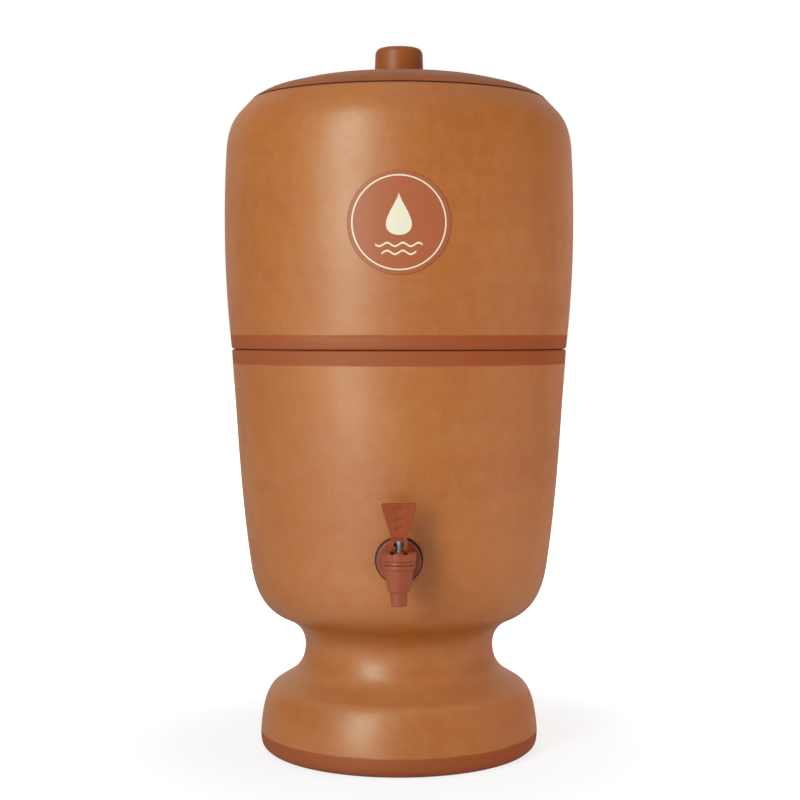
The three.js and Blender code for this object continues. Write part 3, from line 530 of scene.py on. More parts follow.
def rod_along_x(radius, low, high, y, z, bevel=0.0):
    """Cylinder along X with rounded ends."""
    grid = upright(outline(bar(0.0, radius, low, high, bevel)), columns=32)
    return mesh_of(np.stack([grid[..., 2], y + grid[..., 0], z + grid[..., 1]], axis=-1))


def rod_along_y(radius, low, high, x, z):
    """Closed cylinder along Y, used to bore holes."""
    return mesh_of(lying(rod_outline(radius, low, high), (x, z), columns=48))


def block(low, high):
    """Plain box, used to cut slots."""
    base = np.array([[low[0], low[1]], [high[0], low[1]], [high[0], high[1]], [low[0], high[1]]])
    return mesh_of(plate(base, low[2], high[2], bevel=0.0))


def thread(pitch, depth, low, high):
    """Relief of a moulded thread between two heights: a ridge that climbs one pitch in each turn,
    depth (0.5 cos(2 pi (height / pitch - angle / turn)) - 0.5), fading out over one pitch at both ends."""
    def relief(r, z, angle):
        wave = 0.5 * np.cos(TURN * z / pitch - angle) - 0.5
        inside = np.clip((z - low) / pitch, 0, 1) * np.clip((high - z) / pitch, 0, 1)
        return depth * wave * inside
    return relief


def flutes(depth, count, angle):
    """Relief of grooves around a wall: -depth (0.5 + 0.5 cos(count angle))."""
    return -depth * (0.5 + 0.5 * np.cos(count * angle))


def show(node, made, mesh, finish):
    """Places a finished mesh as the piece that stands for a CAD node and moves with its body. The piece is
    named after the node and a word on how it is made."""
    name = f"{node}_{made}"
    mesh.name = name
    mesh.materials.clear()
    mesh.materials.append(finish_of(finish))
    mesh.polygons.foreach_set("use_smooth", np.ones(len(mesh.polygons), dtype=bool))
    mesh.set_sharp_from_angle(angle=math.radians(SHARP_ANGLE))
    piece = bpy.data.objects.new(name, mesh)
    bpy.context.scene.collection.objects.link(piece)
    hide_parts(node)
    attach(piece, body_of(frame["nodes"][node])[0])
    slot = next(part["material_slot"] for part in frame["record"]["subparts"] if part["node"] == node)
    return piece


# Material building blocks

class Field:
    """Value, vector or colour that varies over a surface: one output in a node tree.
    Arithmetic on it adds Math nodes to the tree."""

    def __init__(self, socket):
        self.socket = socket
        self.tree = socket.id_data

    def maths(self, operation, first, second=0.0, clamp=False):
        """Output of a new Math node."""
        inputs = {0: first, 1: second}
        made = add(self.tree, "ShaderNodeMath", inputs, operation=operation, use_clamp=clamp)
        return Field(made.outputs[0])

    def __add__(self, other):
        return self.maths("ADD", self, other)

    def __sub__(self, other):
        return self.maths("SUBTRACT", self, other)

    def __rsub__(self, other):
        return self.maths("SUBTRACT", other, self)

    def __mul__(self, other):
        return self.maths("MULTIPLY", self, other)

    def __truediv__(self, other):
        return self.maths("DIVIDE", self, other)

    def __pow__(self, other):
        return self.maths("POWER", self, other)

    def __abs__(self):
        return self.maths("ABSOLUTE", self)

    def sine(self):
        """Sine of the field."""
        return self.maths("SINE", self)

    def larger(self, other):
        """The larger of this field and another."""
        return self.maths("MAXIMUM", self, other)

    def past(self, start):
        """How far the field lies past a start, from nought to one."""
        return self.maths("SUBTRACT", self, start, clamp=True)

    def part(self, axis):
        """X, Y or Z of a vector."""
        return Field(add(self.tree, "ShaderNodeSeparateXYZ", {0: self}).outputs[axis])


def add(tree, kind, inputs=None, **options):
    """Adds a node, sets its options, and fills its inputs with values or with fields."""
    made = tree.nodes.new(kind)
    for key, value in options.items():
        setattr(made, key, value)
    for key, value in (inputs or {}).items():
        if isinstance(value, Field):
            tree.links.new(value.socket, made.inputs[key])
        else:
            made.inputs[key].default_value = value
    return made


def ramp(field, low, high, start=0.0, end=1.0):
    """Smooth step from start to end while the field goes from low to high."""
    inputs = {"Value": field, "From Min": low, "From Max": high, "To Min": start, "To Max": end}
    return Field(add(field.tree, "ShaderNodeMapRange", inputs, interpolation_type="SMOOTHSTEP").outputs[0])


def mixed(share, first, second, blend="MIX"):
    """Mix of two colours, each a field or three numbers, by a share that is a field or a number."""
    tree = next(part.tree for part in (share, first, second) if isinstance(part, Field))
    first, second = (part if isinstance(part, Field) else (*part, 1.0) for part in (first, second))
    made = add(tree, "ShaderNodeMix", {0: share, 6: first, 7: second}, data_type="RGBA", blend_type=blend)
    return Field(made.outputs[2])


def noise(place, scale, detail=2.0, roughness=0.5):
    """Value of a noise texture."""
    inputs = {"Vector": place, "Scale": scale, "Detail": detail, "Roughness": roughness}
    return Field(add(place.tree, "ShaderNodeTexNoise", inputs).outputs[0])


def cells(place, scale):
    """Distance from the middle of the nearest cell, and that cell's own chance colour."""
    made = add(place.tree, "ShaderNodeTexVoronoi", {"Vector": place, "Scale": scale}).outputs
    return Field(made["Distance"]), Field(made["Color"])


def stretched(place, scale, turn=(0.0, 0.0, 0.0)):
    """Place scaled and turned, so that a pattern runs along a direction."""
    inputs = {"Vector": place, "Rotation": turn, "Scale": scale}
    return Field(add(place.tree, "ShaderNodeMapping", inputs).outputs[0])


def darker(rgb, share):
    """Share of a colour."""
    return tuple(share * part for part in rgb)


def blank_tree(owner):
    """Empty node tree of a material or a world."""
    owner.use_nodes = True
    owner.node_tree.nodes.clear()
    return owner.node_tree


def surface(tree, shader, kind="ShaderNodeOutputMaterial"):
    """Links a shader to the tree's end."""
    tree.links.new(shader.outputs[0], tree.nodes.new(kind).inputs["Surface"])


# Effects that several finishes share

def effect(setting, *outputs):
    """Makes a function of a place and one setting into a node group of the function's name, which is built at
    its first use and placed in each finish with a value of its own."""
    def shared(build):
        def new_group():
            group = bpy.data.node_groups.new(build.__name__, "ShaderNodeTree")
            group.interface.new_socket(name="Vector", in_out="INPUT", socket_type="NodeSocketVector")
            group.interface.new_socket(name=setting, in_out="INPUT", socket_type="NodeSocketFloat")
            for label in outputs:
                group.interface.new_socket(name=label, in_out="OUTPUT", socket_type="NodeSocketFloat")
            given = group.nodes.new("NodeGroupInput").outputs
            wanted = group.nodes.new("NodeGroupOutput").inputs
            for label, field in zip(outputs, build(Field(given["Vector"]), Field(given[setting]))):
                group.links.new(field.socket, wanted[label])
            return group

        def placed(place, value):
            group = bpy.data.node_groups.get(build.__name__) or new_group()
            made = add(place.tree, "ShaderNodeGroup", {"Vector": place, setting: value}, node_tree=group)
            fields = [Field(made.outputs[label]) for label in outputs]
            return fields if len(fields) > 1 else fields[0]

        return placed
    return shared


@effect("Scale", "Tone", "Height")
def fine_grain(place, scale):
    """Fine grain: a coarse and a fine noise added up, as a tone around one half and as a height."""
    both = noise(place, scale, 4.0, 0.6) * 0.6 + noise(place, scale * 3.3, 3.0, 0.7) * 0.4
    return ramp(both, 0.32, 0.68), both


@effect("Scale", "Tone")
def soft_clouds(place, scale):
    """Large soft patches, as a tone from nought to one."""
    return [ramp(noise(place, scale, 3.0, 0.55), 0.3, 0.7)]


@effect("Amount", "Mask")
def fine_scratches(place, amount):
    """Fine scratches: noise drawn out along two slanting directions, of which only the crests show."""
    threshold = 0.86 - amount
    crests = []
    for turn in ((0.5, 0.3, 0.9), (-0.4, 0.8, -0.5)):
        lines = noise(stretched(place, (900.0, 70.0, 70.0), turn), 1.0, 1.0, 0.4)
        crests.append(ramp(lines - threshold, 0.0, 0.05))
    patches = ramp(noise(place, 22.0, 2.0), 0.52, 0.66)
    return [crests[0].larger(crests[1]) * patches]


@effect("Amount", "Mask")
def settled_dust(place, amount):
    """Dust on faces that look up: the normal's height times a patchy noise."""
    normal = Field(place.tree.nodes.new("ShaderNodeNewGeometry").outputs["Normal"])
    patches = ramp(noise(place, 160.0, 5.0, 0.7), 0.35, 0.75)
    return [patches * ramp(normal.part("Z"), 0.55, 1.0) * amount]


# Finishes

# Colours of small marks on the finishes, as scene-linear light
SPECK = (0.13, 0.055, 0.03)
SCUFF = (0.72, 0.5, 0.36)
DUST = (0.55, 0.47, 0.4)

# Plastics by name: colour, roughness, depth of the texture in millimetres, share of dust and sheen
PLASTICS = {
    "moulded_lid": ("lid", 0.42, 0.035, 0.06, 0.2),
    "moulded_knob": ("lid", 0.42, 0.035, 0.06, 0.45),
    "moulded_tap": ("tap", 0.34, 0.03, 0.05, 0.4),
    "moulded_lever": ("tap", 0.45, 0.03, 0.0, 0.16),
    "moulded_white": ("white", 0.4, 0.03, 0.08, 0.35),
    "moulded_blue": ("blue", 0.35, 0.03, 0.08, 0.35),
}

# Rubbers by name: colour and roughness
RUBBERS = {"moulded_rubber": ("rubber", 0.2), "moulded_silicone": ("silicone", 0.4)}

# Steels by name: colour
# The pin's dark steel is painted shade, standing for the shadow between the lever's legs
STEELS = {"drawn_steel": "steel", "blued_steel": "blued"}


class Finish:
    """Material under construction: its tree, its shader and its places in Object coordinates."""

    def __init__(self, name, **constants):
        self.material = bpy.data.materials.new(name)
        self.tree = blank_tree(self.material)
        self.shader = self.tree.nodes.new("ShaderNodeBsdfPrincipled")
        surface(self.tree, self.shader)
        self.place = Field(self.tree.nodes.new("ShaderNodeTexCoord").outputs["Object"])
        for key, value in constants.items():
            self.shader.inputs[key.replace("_", " ")].default_value = value

    def done(self, colour, roughness, relief, distance, strength):
        """Feeds the shader with a colour, a roughness and a relief from nought to one over a distance."""
        inputs = {"Height": relief, "Distance": distance, "Strength": strength}
        normal = Field(add(self.tree, "ShaderNodeBump", inputs).outputs[0])
        fed = {"Base Color": colour, "Roughness": roughness, "Normal": normal}
        for socket, field in fed.items():
            self.tree.links.new(field.socket, self.shader.inputs[socket])
        return self.material


def grime_line(height, middle_height):
    """Share of painted shadow around a height, standing for the shade in the gap between lid and rim: most at
    that height, nothing 1.2 mm above and below it.
    """
    return ramp(abs(height - middle_height), 0.3 * MM, 1.2 * MM, 0.85, 0.0)


def fired_clay(name):
    """Burnished clay: cloudy orange tones, fine throwing lines around the axis, grain and a few specks, a
    thin pale film in patches, darker slip bands along the seam and the foot, a painted pale sheen on the
    foot's slope that stands for its soft highlight, a faint step of tone on the shoulder, a painted shadow
    line in the gap under the lid, and paler raw clay inside."""
    vessel = settings().vessel
    colours = settings().colours
    finish = Finish(name, Specular_IOR_Level=0.85, Specular_Tint=(0.95, 1.0, 0.85, 1.0))
    place = finish.place
    height = place.part("Z")
    outside = Field(add(finish.tree, "ShaderNodeAttribute", attribute_name="outside").outputs["Fac"])
    inside = 1.0 - outside
    clouds = soft_clouds(place, 11.0)
    grain, grain_height = fine_grain(place, 520.0)
    rings = noise(stretched(place, (7.0, 7.0, 190.0)), 1.0, 4.0, 0.6)
    lines = noise(stretched(place, (16.0, 16.0, 1500.0)), 1.0, 2.0, 0.5)

    body = mixed(ramp(clouds * 0.45 + rings * 0.55, 0.25, 0.75), colours.clay, colours.clay_dark)
    film = noise(place, 95.0, 4.0, 0.6) * 0.16 + grain * 0.02
    body = mixed(film.past(0.075), body, colours.clay_pale)
    # Painted sheen: a pale tint on the foot's slope stands for the soft highlight there
    slope_sheen = ramp(height, vessel.foot_height - 3 * MM, vessel.foot_height + 2 * MM)
    slope_sheen *= ramp(height, vessel.neck_low - 3 * MM, vessel.neck_low + 5 * MM, 0.06, 0.0)
    body = mixed(slope_sheen, body, colours.clay_pale)
    step_height = span("upper_vessel")[0] + vessel.tone_step
    step = ramp(height, step_height, step_height + 0.4 * MM)
    step *= ramp(height, step_height, step_height + 22 * MM, 1.0, 0.0)
    body = mixed(step * 0.22, body, colours.clay_dark)

    wavering = height + (noise(place, 45.0, 3.0) - 0.5) * (0.9 * MM)
    from_seam = abs(wavering - span("lower_vessel")[1])
    brushed = 0.4 * MM
    band = ramp(from_seam, vessel.band_height - brushed, vessel.band_height + brushed, 1.0, 0.0)
    foot = ramp(wavering, vessel.foot_band - brushed, vessel.foot_band + brushed, 1.0, 0.0)
    slip = band.larger(foot) * outside * ramp(rings, 0.2, 0.6, 0.8, 0.95)
    body = mixed(slip, body, colours.band)
    body = mixed(inside * 0.75, body, colours.raw_clay)
    # Painted shadow: a dark line on the rim's outer edge, where the lid's edge overhangs it and shades the
    # gap
    grime = grime_line(height, span("upper_vessel")[1]) * ramp(outside, 0.6, 1.0)
    body = mixed(grime, body, colours.grime)

    distance, chance = cells(place, 150.0)
    specks = ramp(distance, 0.03, 0.09, 1.0, 0.0) * ramp(chance.part("X"), 0.86, 0.9)
    shade = ramp(grain * 0.6 + lines * 0.4, 0.0, 1.0, 0.95, 1.05)
    grey = Field(add(finish.tree, "ShaderNodeCombineXYZ", {0: shade, 1: shade, 2: shade}).outputs[0])
    body = mixed(1.0, body, grey, "MULTIPLY")
    body = mixed(specks * 0.5, body, SPECK)
    body = mixed(fine_scratches(place, 0.08) * 0.2, body, SCUFF)
    roughness = clouds * 0.08 + grain * 0.1 + inside * 0.3 + slip * 0.26 + 0.36
    relief = grain_height * 0.35 + lines * 0.3 + rings * 0.7 - specks * 0.6
    return finish.done(body, roughness, relief, 0.2 * MM, 0.35)


def moulded_plastic(name):
    """Moulded plastic: a fine spark-eroded texture, faint flow clouds, hairline scratches, a little dust and,
    on the lid, a painted shadow line along its lower edge, where it overhangs the rim."""
    key, roughness, texture, dusty, sheen = PLASTICS[name]
    rgb = getattr(settings().colours, key)
    finish = Finish(name, Specular_IOR_Level=sheen)
    place = finish.place
    grain, grain_height = fine_grain(place, 1500.0)
    scratches = fine_scratches(place, 0.06)
    dust = settled_dust(place, dusty)
    lighter = tuple(min(1.0, 1.25 * part + 0.02) for part in rgb)
    body = mixed(soft_clouds(place, 26.0), rgb, darker(rgb, 0.86))
    body = mixed(grain * 0.12, body, lighter)
    body = mixed(scratches * 0.35, body, lighter)
    body = mixed(dust, body, DUST)
    # Painted shadow along the lid's lower edge, in the gap over the rim
    if name == "moulded_lid":
        body = mixed(grime_line(place.part("Z"), span("upper_vessel")[1]), body, settings().colours.grime)
    worn = grain * 0.08 + scratches * 0.15 + dust * 0.4
    return finish.done(body, worn + roughness, grain_height, texture * MM, 0.2)


def printed_badge(name):
    """Film badge: a plain field with a printed ring, a water drop and two waves, in places by X and Z.
    The drop's half width at height s from -1 to 1 is proportional to the root of (1 - s) cubed times (1 + s);
    the waves are sines of X; each line's edge is a smooth step across a quarter of a millimetre."""
    colours = settings().colours
    finish = Finish(name, Specular_IOR_Level=0.4)
    place = finish.place
    low, high = span("front_badge")
    across = place.part("X")
    rise = place.part("Z") - (low + high) / 2
    sharp = 0.12 * MM

    def within(distance, limit):
        return ramp(distance, limit - sharp, limit + sharp, 1.0, 0.0)

    reach = (across * across + rise * rise) ** 0.5
    ring_radius = settings().lid.badge_radius - 3.2 * MM
    ink = within(abs(reach - ring_radius), 0.45 * MM)

    drop_middle = 5.5 * MM
    drop_half_height = 13.5 * MM
    drop_half_width = 6.3 * MM
    s = (rise - drop_middle) / drop_half_height
    bulge = ((1.0 - s).larger(0.0) ** 3.0 * (s + 1.0).larger(0.0)) ** 0.5
    drop = within(abs(across) - bulge * drop_half_width, 0.0) * ramp(bulge, 0.0, 0.02)
    ink = ink.larger(drop)

    wave_length = 10 * MM
    wave_swing = 1.1 * MM
    swing = (across * (TURN / wave_length)).sine() * wave_swing
    for wave_height, wave_reach in ((-14 * MM, 15 * MM), (-19 * MM, 11 * MM)):
        wave = within(abs(rise - wave_height - swing), 0.6 * MM)
        ends = ramp(abs(across), wave_reach - 0.2 * MM, wave_reach + 0.2 * MM, 1.0, 0.0)
        ink = ink.larger(wave * ends)

    grain, grain_height = fine_grain(place, 900.0)
    body = mixed(soft_clouds(place, 40.0) * 0.35, colours.badge, colours.clay_dark)
    body = mixed(ink, body, colours.cream)
    body = mixed(grain * 0.06, body, (0.1, 0.05, 0.03))
    relief = ink * 0.6 + grain_height * 0.3
    return finish.done(body, ramp(grain, 0.0, 1.0, 0.42, 0.52), relief, 0.06 * MM, 0.6)


def soft_rubber(name):
    """Rubber or silicone: faint moulding grain, clouds and dust."""
    key, roughness = RUBBERS[name]
    rgb = getattr(settings().colours, key)
    finish = Finish(name, Specular_IOR_Level=0.35)
    grain, grain_height = fine_grain(finish.place, 1300.0)
    body = mixed(soft_clouds(finish.place, 60.0), rgb, darker(rgb, 0.8))
    body = mixed(settled_dust(finish.place, 0.25), body, (0.4, 0.37, 0.34))
    return finish.done(body, ramp(grain, 0.0, 1.0, roughness, roughness + 0.15), grain_height, 0.02 * MM, 0.2)


def porous_ceramic(name):
    """Candle ceramic: chalky, with pores, faint turning lines and a tea-coloured stain that starts below."""
    finish = Finish(name, Specular_IOR_Level=0.3)
    place = finish.place
    grain, grain_height = fine_grain(place, 700.0)
    lines = noise(stretched(place, (14.0, 14.0, 900.0)), 1.0, 2.0)
    low = span("candle_shell_left")[0]
    soaked = place.part("Z") + soft_clouds(place, 30.0) * (14 * MM)
    stain = ramp(soaked, low + 8 * MM, low + 50 * MM, 0.5, 0.06)
    body = mixed(stain, settings().colours.ceramic, (0.56, 0.41, 0.25))
    body = mixed(grain * 0.14, body, (0.5, 0.45, 0.38))
    relief = grain_height * 0.7 + lines * 0.4
    return finish.done(body, ramp(grain, 0.0, 1.0, 0.78, 0.92), relief, 0.2 * MM, 0.6)


def packed_carbon(name):
    """Carbon filling: black grains with a dull glitter."""
    finish = Finish(name, Specular_IOR_Level=0.5)
    grains = ramp(cells(finish.place, 700.0)[0], 0.1, 0.7)
    body = mixed(grains, settings().colours.carbon, (0.004, 0.004, 0.004))
    return finish.done(body, ramp(grains, 0.0, 1.0, 0.45, 0.9), 1.0 - grains, 0.5 * MM, 0.8)


def drawn_steel(name):
    """Steel: drawing lines along Z, clouds of finger marks and fine scratches."""
    rgb = getattr(settings().colours, STEELS[name])
    finish = Finish(name, Metallic=0.6)
    place = finish.place
    lines = noise(stretched(place, (2400.0, 2400.0, 60.0)), 1.0, 2.0)
    scratches = fine_scratches(place, 0.08)
    body = mixed(soft_clouds(place, 120.0) * 0.5, rgb, darker(rgb, 0.6))
    body = mixed(scratches * 0.3, body, (0.6, 0.6, 0.6))
    return finish.done(body, ramp(lines + scratches, 0.2, 1.0, 0.45, 0.65), lines, 0.02 * MM, 0.5)


FINISHES = {
    "fired_clay": fired_clay,
    "printed_badge": printed_badge,
    "porous_ceramic": porous_ceramic,
    "packed_carbon": packed_carbon,
    **dict.fromkeys(PLASTICS, moulded_plastic),
    **dict.fromkeys(RUBBERS, soft_rubber),
    **dict.fromkeys(STEELS, drawn_steel),
}


def finish_of(name):
    """Material of a finish: the one that an earlier piece made, or a new one."""
    return bpy.data.materials.get(name) or FINISHES[name](name)


# Shared places

def axis():
    """Middle of the vessels, seen from above."""
    return middle("lid")


def foot_corners(v):
    """Outer corners of foot and neck, from the ground up."""
    return [
        edge(v.foot_ring_radius, 0.0, v.rim_edge),
        soft(v.foot_radius, v.foot_edge_height, 0.6, 0.57),
        soft(v.foot_top_radius, v.foot_height, 0.43, 0.25),
        soft(v.neck_radius, v.neck_low, 0.43, 0.5),
        soft(v.neck_radius, v.neck_high, 0.5, 0.48),
    ]


def lower_corners(v):
    """Outer corners of the whole lower vessel, from the ground up."""
    return [
        *foot_corners(v),
        soft(v.bowl_radius, v.bowl_edge, 0.52, 0.41),
        soft(v.bend_radius, v.bend_height, 0.45),
        edge(v.seam_radius, span("lower_vessel")[1], v.rim_edge),
    ]


def upper_corners(v):
    """Outer corners of the upper vessel, from the seam up."""
    low, high = span("upper_vessel")
    seam = low + v.spigot_depth
    return [
        edge(v.seam_radius, seam, v.rim_edge),
        soft(v.belly_radius, seam + v.belly_rise, 0.92, 0.78),
        soft(v.shoulder_radius, seam + v.shoulder_rise, 0.2, 0.49),
        edge(v.rim_radius, high, v.rim_edge / 2),
    ]


def mark_outside(mesh, corners):
    """Gives each point the attribute outside: one on the outer outline, nought from half a wall inwards."""
    places = np.empty(len(mesh.vertices) * 3, dtype=np.float32)
    mesh.vertices.foreach_get("co", places)
    x, y, z = places.reshape(-1, 3).T
    skin = outline(corners, 1.0 * MM)
    cx, cy = axis()
    depth = np.interp(z, skin[:, 1], skin[:, 0]) - np.hypot(x - cx, y - cy)
    outside = np.clip(1.0 - (depth - 1.5 * MM) / (2.5 * MM), 0.0, 1.0)
    mesh.attributes.new("outside", "FLOAT", "POINT").data.foreach_set("value", outside.astype(np.float32))


def mould_ring(corners, centre, columns=ROUND_COLUMNS, relief=None, spacing=SPACING):
    """Ring whose outline is closed on itself, turned about an upright axis."""
    points = outline([*corners, corners[0]], spacing)[:-1]
    return mesh_of(upright(points, columns, centre, relief), closed_rows=True)


def mould_solid(corners, centre, columns=ROUND_COLUMNS, relief=None, spacing=SPACING):
    """Solid whose outline starts and ends on an upright axis."""
    return mesh_of(upright(outline(corners, spacing), columns, centre, relief))


def on_front(reach, height, wall, columns, proud=0.0):
    """Rings laid on the front of a vessel: x = reach cos a, z = height + reach sin a, and y lies in front of
    the axis by the root of (wall's radius at z + proud) squared minus x squared."""
    cx, cy = axis()
    angle = np.arange(columns) * TURN / columns
    x = reach * np.cos(angle)
    z = height + reach * np.sin(angle)
    r = np.interp(z, wall[:, 1], wall[:, 0]) + proud
    return np.stack([cx + x, cy - np.sqrt(r ** 2 - x ** 2), z], axis=-1)


def lever_pin():
    """Middle of the lever's pin."""
    t = settings().tap
    return np.array([*middle("tap_stem"), t.shank_height + t.pin_height])


def pin_hole(reach):
    """Bore for the lever's pin, with its reach to both sides."""
    x, y, z = lever_pin()
    return rod_along_x(settings().tap.pin_radius + PIN_GAP, x - reach, x + reach, y, z)


def leg_sides(t):
    """Where the two legs of the lever start across the width, from the middle."""
    return t.leg_inside, -t.leg_inside - t.leg_width


class BuildLowerVessel(bpy.types.Operator):
    """Thrown lower vessel: bowl, neck and hollow foot, with the tap's hole"""

    bl_idname = "clay_filter.lower_vessel"
    bl_label = "Lower vessel"

    def execute(self, context):
        v = settings().vessel
        rim = span("lower_vessel")[1]
        skin = lower_corners(v)
        inner = inset(skin, v.clay_wall)
        foot = foot_corners(v)
        hollow = [edge(v.foot_ring_radius - v.foot_wall, 0.0), *inset(foot, v.foot_wall)[1:-1]]
        floor_top = v.neck_high + v.clay_wall
        ceiling = floor_top - v.floor
        corners = [
            edge(0.0, ceiling),
            edge(v.neck_radius - v.foot_wall, ceiling, v.rim_edge * 3),
            *reversed(hollow),
            *skin,
            edge(inner[-1][0], rim, v.rim_edge),
            *turned_round(inner[len(foot):-1]),
            soft(v.neck_radius, floor_top, 0.3),
            edge(0.0, floor_top),
        ]
        mesh = mould_solid(corners, axis(), VESSEL_COLUMNS, spacing=VESSEL_SPACING)
        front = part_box("lower_vessel")[0].y
        bore = rod_along_y(v.tap_hole, front - 30 * MM, axis()[1], 0.0, settings().tap.shank_height)
        mesh = carved(mesh, [bore])
        mark_outside(mesh, skin)
        show("lower_vessel", "clay", mesh, "fired_clay")
        return {"FINISHED"}


class BuildUpperVessel(bpy.types.Operator):
    """Thrown upper vessel: barrel-shaped, with a ring that drops into the lower mouth and two stem holes"""

    bl_idname = "clay_filter.upper_vessel"
    bl_label = "Upper vessel"

    def execute(self, context):
        v = settings().vessel
        low, rim = span("upper_vessel")
        seam = low + v.spigot_depth
        floor_top = seam + v.floor_rise
        skin = upper_corners(v)
        seam_in, belly_in, shoulder_in, rim_in = inset(skin, v.clay_wall)
        ring_out = inset(lower_corners(v), v.clay_wall)[-1][0] - v.spigot_gap
        ring_in = ring_out - v.spigot_width
        mouth = v.rim_radius - v.rim_width
        lip_drop = (rim_in[0] - mouth) * (rim_in[1] - shoulder_in[1]) / (rim_in[0] - shoulder_in[0])
        floor_radius = seam_in[0] + (belly_in[0] - seam_in[0]) * v.floor_rise / v.belly_rise
        underside = floor_top - v.floor
        corners = [
            edge(0.0, underside),
            edge(ring_in, underside, v.rim_edge),
            edge(ring_in, low, v.rim_edge),
            edge(ring_out, low, v.rim_edge),
            edge(ring_out, seam),
            *skin,
            edge(mouth, rim, v.rim_edge / 2),
            edge(mouth, rim - lip_drop, v.rim_edge / 2),
            soft(shoulder_in[0], shoulder_in[1], 0.49, 0.2),
            soft(belly_in[0], belly_in[1], 0.75, 0.8),
            edge(floor_radius, floor_top, v.floor_rounding),
            edge(0.0, floor_top),
        ]
        mesh = mould_solid(corners, axis(), VESSEL_COLUMNS, spacing=VESSEL_SPACING)
        stems = [middle(f"candle_gasket_{side}") for side in SIDES]
        mesh = carved(mesh, [rod(v.stem_hole, low, floor_top + v.floor, stem) for stem in stems])
        mark_outside(mesh, skin)
        show("upper_vessel", "clay", mesh, "fired_clay")
        return {"FINISHED"}


class BuildLid(bpy.types.Operator):
    """Moulded lid with its skirt, the knob on it and the screw that holds the knob"""

    bl_idname = "clay_filter.lid"
    bl_label = "Lid and knob"

    def execute(self, context):
        v = settings().vessel
        lid = settings().lid
        crown = span("lid")[1]
        low = span("lid")[0] + lid.skirt_depth
        skirt = v.rim_radius - v.rim_width - lid.skirt_gap
        seat = lid.knob_radius + 1.2 * MM
        bend = v.rim_radius - lid.edge_inset
        dome = [
            edge(v.rim_radius, low, v.rim_edge / 2),
            soft(bend, low + lid.edge_rise, 0.75, 0.28),
            soft(bend - lid.bend_inset, low + lid.edge_rise + lid.bend_rise, 0.37, 0.2),
            edge(seat, crown),
        ]
        under = inset(dome, lid.wall)[2]
        hole = lid.screw_radius + GAP
        corners = [
            edge(hole, crown),
            edge(hole, crown - lid.wall),
            edge(seat, crown - lid.wall),
            soft(under[0], under[1], 0.2, 0.3),
            edge(skirt - lid.skirt_wall, low + lid.wall, v.rim_edge / 2),
            edge(skirt - lid.skirt_wall, low - lid.skirt_depth, lid.skirt_wall / 3),
            edge(skirt, low - lid.skirt_depth, lid.skirt_wall / 3),
            edge(skirt, low),
            *dome,
        ]
        mesh = mould_ring(corners, axis(), VESSEL_COLUMNS, spacing=1.6 * MM)
        show("lid", "dome", mesh, "moulded_lid")

        base, top = span("lid_knob")
        hole_end = span("lid_knob_screw")[1] + GAP
        knob = [
            edge(0.0, hole_end),
            edge(hole, hole_end),
            edge(hole, base),
            edge(lid.knob_radius, base, 0.3 * MM),
            edge(lid.knob_radius - lid.knob_taper, top, lid.knob_edge),
            edge(0.0, top),
        ]
        show("lid_knob", "turned", mould_solid(knob, axis(), columns=96), "moulded_knob")

        head, tip = span("lid_knob_screw")
        head_top = crown - lid.wall - GAP
        screw = [
            edge(0.0, head + 0.5 * MM),
            edge(lid.screw_head * 0.4, head, 0.3 * MM),
            edge(lid.screw_head, head, 0.8 * MM),
            edge(lid.screw_head, head_top, 0.2 * MM),
            edge(lid.screw_radius, head_top),
            edge(lid.screw_radius, tip, 1.2 * MM),
            edge(0.0, tip),
        ]
        relief = thread(1.0 * MM, 0.45 * MM, head_top + 0.5 * MM, tip - 0.5 * MM)
        mesh = mould_solid(screw, axis(), columns=32, relief=relief, spacing=0.14 * MM)
        show("lid_knob_screw", "steel", mesh, "drawn_steel")
        return {"FINISHED"}


class BuildBadge(bpy.types.Operator):
    """Thin round badge on the belly, where it follows the clay"""

    bl_idname = "clay_filter.badge"
    bl_label = "Badge"

    def execute(self, context):
        v = settings().vessel
        lid = settings().lid
        low, high = span("front_badge")
        skin = outline(upper_corners(v), 0.5 * MM)
        radius = lid.badge_radius
        flat = np.linspace(0.0, radius - 0.4 * MM, 34)
        level = np.ones_like(flat)
        back = lid.badge_gap
        front = back + lid.badge_thickness
        # Front from the middle outwards, the rounded rim, and the back inwards
        reach = np.r_[flat, radius - 0.1 * MM, radius, radius, flat[::-1]]
        proud = np.r_[level * front, front - 0.08 * MM, front - 0.25 * MM, back, level * back]
        grid = on_front(reach[:, None], (low + high) / 2, skin, columns=144, proud=proud[:, None])
        show("front_badge", "film", mesh_of(grid), "printed_badge")
        return {"FINISHED"}


